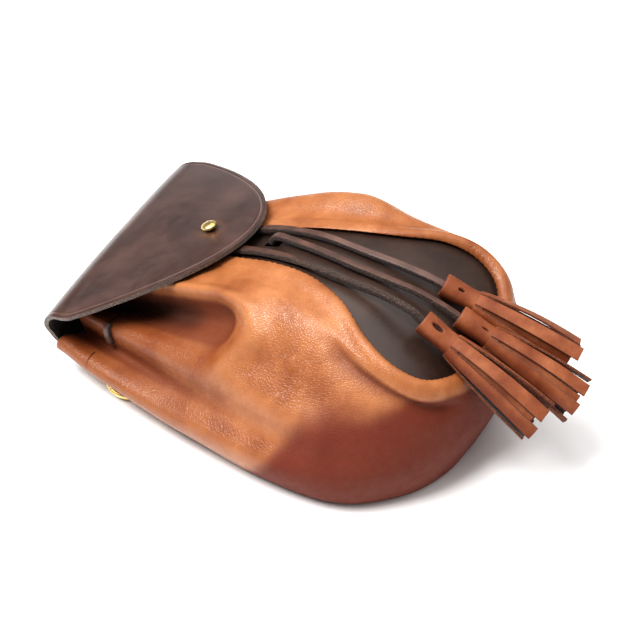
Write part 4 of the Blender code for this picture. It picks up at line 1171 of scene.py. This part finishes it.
def turnedPiece(name, profile, place, turn, finish, nodes, sides=64):
    angles = np.linspace(0, math.tau, sides, endpoint=False)
    radii, heights = np.array(profile).T[..., None]
    rows = np.stack([radii * np.cos(angles), radii * np.sin(angles), heights + 0 * angles], -1)
    points = rows.reshape(-1, 3) @ np.array(turn.to_matrix()).T + place
    faces = [face[::-1] for face in closedFaces(numbered(rows))]
    piece = newPiece(name, points, faces, (finish,), nodes)
    mergeTouching(piece)
    return piece


def makeStud():
    look = studLook
    hole = flapSpot(np.array(flapLook["front"] - flapLook["studFromTip"]), np.array(0.0))
    up = np.array([0, math.sin(flapLook["slope"]), math.cos(flapLook["slope"])])
    depths = np.linspace(0, flapLook["foldRadius"], 441)
    below = hole - up * depths[:, None]
    height = depths[below[:, 2] > panelHeight(below[:, 0], below[:, 1])].max() - pouchShape["gap"]
    base = height + pouchShape["gap"]
    head, tall, cut = look["head"] / 2, look["headHeight"], look["chamfer"]
    neck, foot, thick = look["neck"] / 2, look["foot"] / 2, look["footThickness"]
    profile = [(1e-7, base + tall)]
    for degrees in range(6, 150, 6):
        angle = math.radians(degrees)
        profile.append((head * math.sin(angle) ** 0.9, base + tall * (0.5 + 0.5 * math.cos(angle))))
    profile += [(neck, base), (neck, thick + cut), (neck + cut, thick), (foot - cut, thick),
                (foot, thick - cut), (foot, 0), (1e-7, 0)]
    stud = turnedPiece("buttonStud", profile, hole - up * height, Euler((-flapLook["slope"], 0, 0)), brass,
                       ("button_stud",))
    stud.data.set_sharp_from_angle(angle=math.radians(50))


makeStud()
print("stage: stud turned")

# the drawcord: a lace through slits in the pleats beside the mouth
drawcordLook = {
    "width": 4.2 * mm, "thickness": 2.6 * mm, "clearance": 0.2 * mm,
    "spacing": 1.2 * mm, "slitSpacing": 0.6 * mm,  # between the points of each line
    # the cuts beside the mouth: width and height of their painted dark lips, and stops of (section, share
    # down)
    "slitSize": (0.9 * mm, 0.5 * mm),
    "slits": (("slitLobe", ((1.14, 0.800), (1.12, 0.770), (1.08, 0.740), (1.02, 0.712))),
              ("slitRidge", ((1.00, 0.556), (1.06, 0.572), (1.12, 0.588)))),
    "ends": (("near", (1.15, 0.592), (1.23, 0.640)), ("far", (1.15, 0.650), (1.30, 0.740))),
}


def makeDrawcord(side, first, last):
    look = drawcordLook
    share = np.linspace(0, 1, 24)[:, None]
    marks = np.array(first) + (np.array(last) - np.array(first)) * share
    at = marks[:, 0] if side == "near" else lastSection - marks[:, 0]
    above = look["thickness"] / 2 + look["clearance"]
    lying = outerFace(at, marks[:, 1]) + outwardWay(outerFace, at, marks[:, 1], 0.02) * above
    taut = lying[0] + (lying[-1] - lying[0]) * share
    away = outwardWay(outerFace, at, marks[:, 1], 0.1).mean(0)
    line = np.where(((lying - taut) @ away > 0)[:, None], lying, taut)
    line, _ = evenly(line, look["spacing"])
    ups = np.tile(away, (len(line), 1))
    size = look["width"], look["thickness"]
    sweepLace(f"drawcord{side.capitalize()}", line, ups, np.zeros(len(line)), size, (laceLeather, laceFlesh),
              (f"drawcord_{side}",), 40)


def makeSlit(name, stops):
    # a cut through the leather, drawn as a thin dark lip of painted shade along it
    marks = curveThrough(np.array(stops), np.linspace(0, len(stops) - 1, 16))
    line = outerFace(marks[:, 0], marks[:, 1])
    ups = outwardWay(outerFace, marks[:, 0], marks[:, 1], 0.02)
    line, _ = evenly(line, drawcordLook["slitSpacing"])
    ups = np.tile(ups.mean(0), (len(line), 1))
    sweepLace(name, line, ups, np.zeros(len(line)), drawcordLook["slitSize"], (slitShade, slitShade),
              (), 60)


for side, first, last in drawcordLook["ends"]:
    makeDrawcord(side, first, last)
for name, stops in drawcordLook["slits"]:
    makeSlit(name, stops)
print("stage: drawcords threaded")

# the hanging rings behind, and the leather keepers folded round them
ringLook = {
    "width": 26 * mm, "depth": 18 * mm, "wire": 3 * mm, "y": 72 * mm, "barX": 57 * mm,
    "droop": math.radians(5), "keeperWidth": 16 * mm, "keeperLength": 26 * mm, "keeperLeather": 1.6 * mm,
    "pinch": 1.6, "corner": 1.6 * mm, "keeperEdge": 0.3 * mm,
}


def ringPlace(side):
    slope = (backHeight(ringLook["y"] + mm) - backHeight(ringLook["y"] - mm)) / (2 * mm)
    return np.array((side * ringLook["barX"], ringLook["y"], backHeight(ringLook["y"]))), math.atan(slope)


def bow(centre, radius, start, end, count):
    # points along a round bow from one turn to another
    turns = np.linspace(start, end, count)
    return [(centre[0] + radius * math.cos(turn), centre[1] + radius * math.sin(turn)) for turn in turns]


def addLoop(curve, spots):
    spline = curve.splines.new("POLY")
    spline.points.add(len(spots) - 1)
    for point, spot in zip(spline.points, spots):
        point.co = (*spot, 1)
    spline.use_cyclic_u = True


def showCurve(curve, finish):
    curve.materials.append(finish)
    piece = bpy.data.objects.new(curve.name, curve)
    bpy.context.scene.collection.objects.link(piece)
    return piece


def makeRing(name, side, node):
    look = ringLook
    place, tilt = ringPlace(side)
    half = (look["width"] - look["wire"]) / 2
    depth = look["depth"] - look["wire"] / 2
    bend, corner = min(half, depth), look["corner"]
    outline = [(x, y * half / bend) for x, y in bow((depth - bend, 0), bend, -math.pi / 2, math.pi / 2, 41)]
    outline = [p for p in outline if p[0] > corner or abs(p[1]) < half - corner]
    outline += bow((corner, half - corner), corner, math.pi / 2, math.pi, 5)
    outline += [(0, y) for y in np.linspace(half - 2 * corner, 2 * corner - half, 9)]
    outline += bow((corner, corner - half), corner, math.pi, 1.5 * math.pi, 5)
    drop = pouchShape["gap"] * 2 + look["keeperLeather"] + look["wire"] / 2
    curve = bpy.data.curves.new(name, "CURVE")
    curve.dimensions = "3D"
    curve.bevel_depth = look["wire"] / 2
    curve.bevel_resolution = 6
    spots = []
    for out, along in outline:
        x, z = out * math.cos(look["droop"]), -drop - out * math.sin(look["droop"])
        spots.append(place + (side * x, along * math.cos(tilt) - z * math.sin(tilt),
                              along * math.sin(tilt) + z * math.cos(tilt)) - middle)
    addLoop(curve, spots)
    dress(showCurve(curve, brass), (node,))


def makeKeeper(name, side, node):
    look = ringLook
    place, tilt = ringPlace(side)
    inner = look["wire"] / 2 + pouchShape["gap"]
    outer = inner + look["keeperLeather"]
    slab = 2 * look["keeperLeather"]
    length = look["keeperLength"]
    # the strap's outer side, round the bar, then the eye that the bar lies in
    outline = [(-length, 0), (-0.6 * length, 0), (-0.3 * length, 0)]
    outline += bow((0, -outer), outer, math.pi / 2, -math.pi / 2, 21)
    outline += [(-look["pinch"] * outer, -slab), (-0.6 * length, -slab), (-length, -slab)]
    eye = bow((0, -outer), inner, 0, math.tau, 29)[:-1]
    curve = bpy.data.curves.new(name, "CURVE")
    curve.dimensions = "2D"
    curve.fill_mode = "BOTH"
    curve.extrude = look["keeperWidth"] / 2 - look["keeperEdge"]
    curve.bevel_depth = look["keeperEdge"]
    curve.bevel_resolution = 1
    curve.offset = -look["keeperEdge"]
    for loop in (outline, eye):
        addLoop(curve, [(side * out, height, 0) for out, height in loop])
    keeper = showCurve(curve, flapLeather)
    below = Vector((0, -math.sin(tilt), math.cos(tilt))) * pouchShape["gap"]
    keeper.location = Vector(place) - below - Vector(middle)
    keeper.rotation_euler = (math.pi / 2 + tilt, 0, 0)
    bpy.context.view_layer.update()
    dress(keeper, (node,))


for word, side in (("Near", -1), ("Far", 1)):
    makeRing(f"dRing{word}", side, f"d_ring_{word.lower()}")
    makeKeeper(f"keeper{word}", side, f"keeper_{word.lower()}")
print("stage: rings hung")

# the studio: a pale floor that runs out of the frame, one big soft light and a bright surround
studioLook = {
    "floor": "#fbfaf9", "floorSize": 6.0, "surround": "#ffffff", "surroundStrength": 0.26,
    "aim": (0, 0, 0.04),
    # place, size in metres, watts
    "lights": (
        ("overheadLight", (0.20, 0.00, 1.90), (2.8, 2.8), 42.0),
        ("keyLight", (-0.60, 0.40, 1.50), (0.8, 0.8), 34.0),
    ),
}


def makeStudio():
    look = studioLook
    bpy.ops.mesh.primitive_plane_add(size=look["floorSize"], location=(0, 0, -0.2 * mm))
    floor = bpy.context.active_object
    floor.name = "floor"
    finish, tree, shader, where = newFinish("paleMattPaper")
    speck = addNode(tree, "TexNoise", {}, {"Vector": where, "Scale": 3.0, "Detail": 2})
    share = addNode(tree, "MapRange", {}, {
        "Value": speck.outputs["Fac"], "From Min": 0.3, "From Max": 0.7, "To Max": 0.04})
    colour = addNode(tree, "Mix", {"data_type": "RGBA"}, {
        0: share.outputs[0], 6: linear(look["floor"]), 7: linear("#ffffff")})
    tree.links.new(colour.outputs[2], shader.inputs["Base Color"])
    shader.inputs["Roughness"].default_value = 0.9
    floor.data.materials.append(finish)
    world = bpy.data.worlds.new("surround")
    world.use_nodes = True
    sky = world.node_tree.nodes["Background"]
    sky.inputs["Color"].default_value = linear(look["surround"])
    sky.inputs["Strength"].default_value = look["surroundStrength"]
    bpy.context.scene.world = world
    for name, place, size, watts in look["lights"]:
        data = bpy.data.lights.new(name, "AREA")
        data.shape = "RECTANGLE"
        data.size, data.size_y = size
        data.energy = watts
        light = bpy.data.objects.new(name, data)
        bpy.context.scene.collection.objects.link(light)
        light.location = place
        light.rotation_euler = (Vector(place) - Vector(look["aim"])).to_track_quat("Z", "Y").to_euler()
    view = bpy.context.scene.view_settings
    view.view_transform = "Standard"
    view.look = "Medium High Contrast"


makeStudio()
print("stage: studio lit")
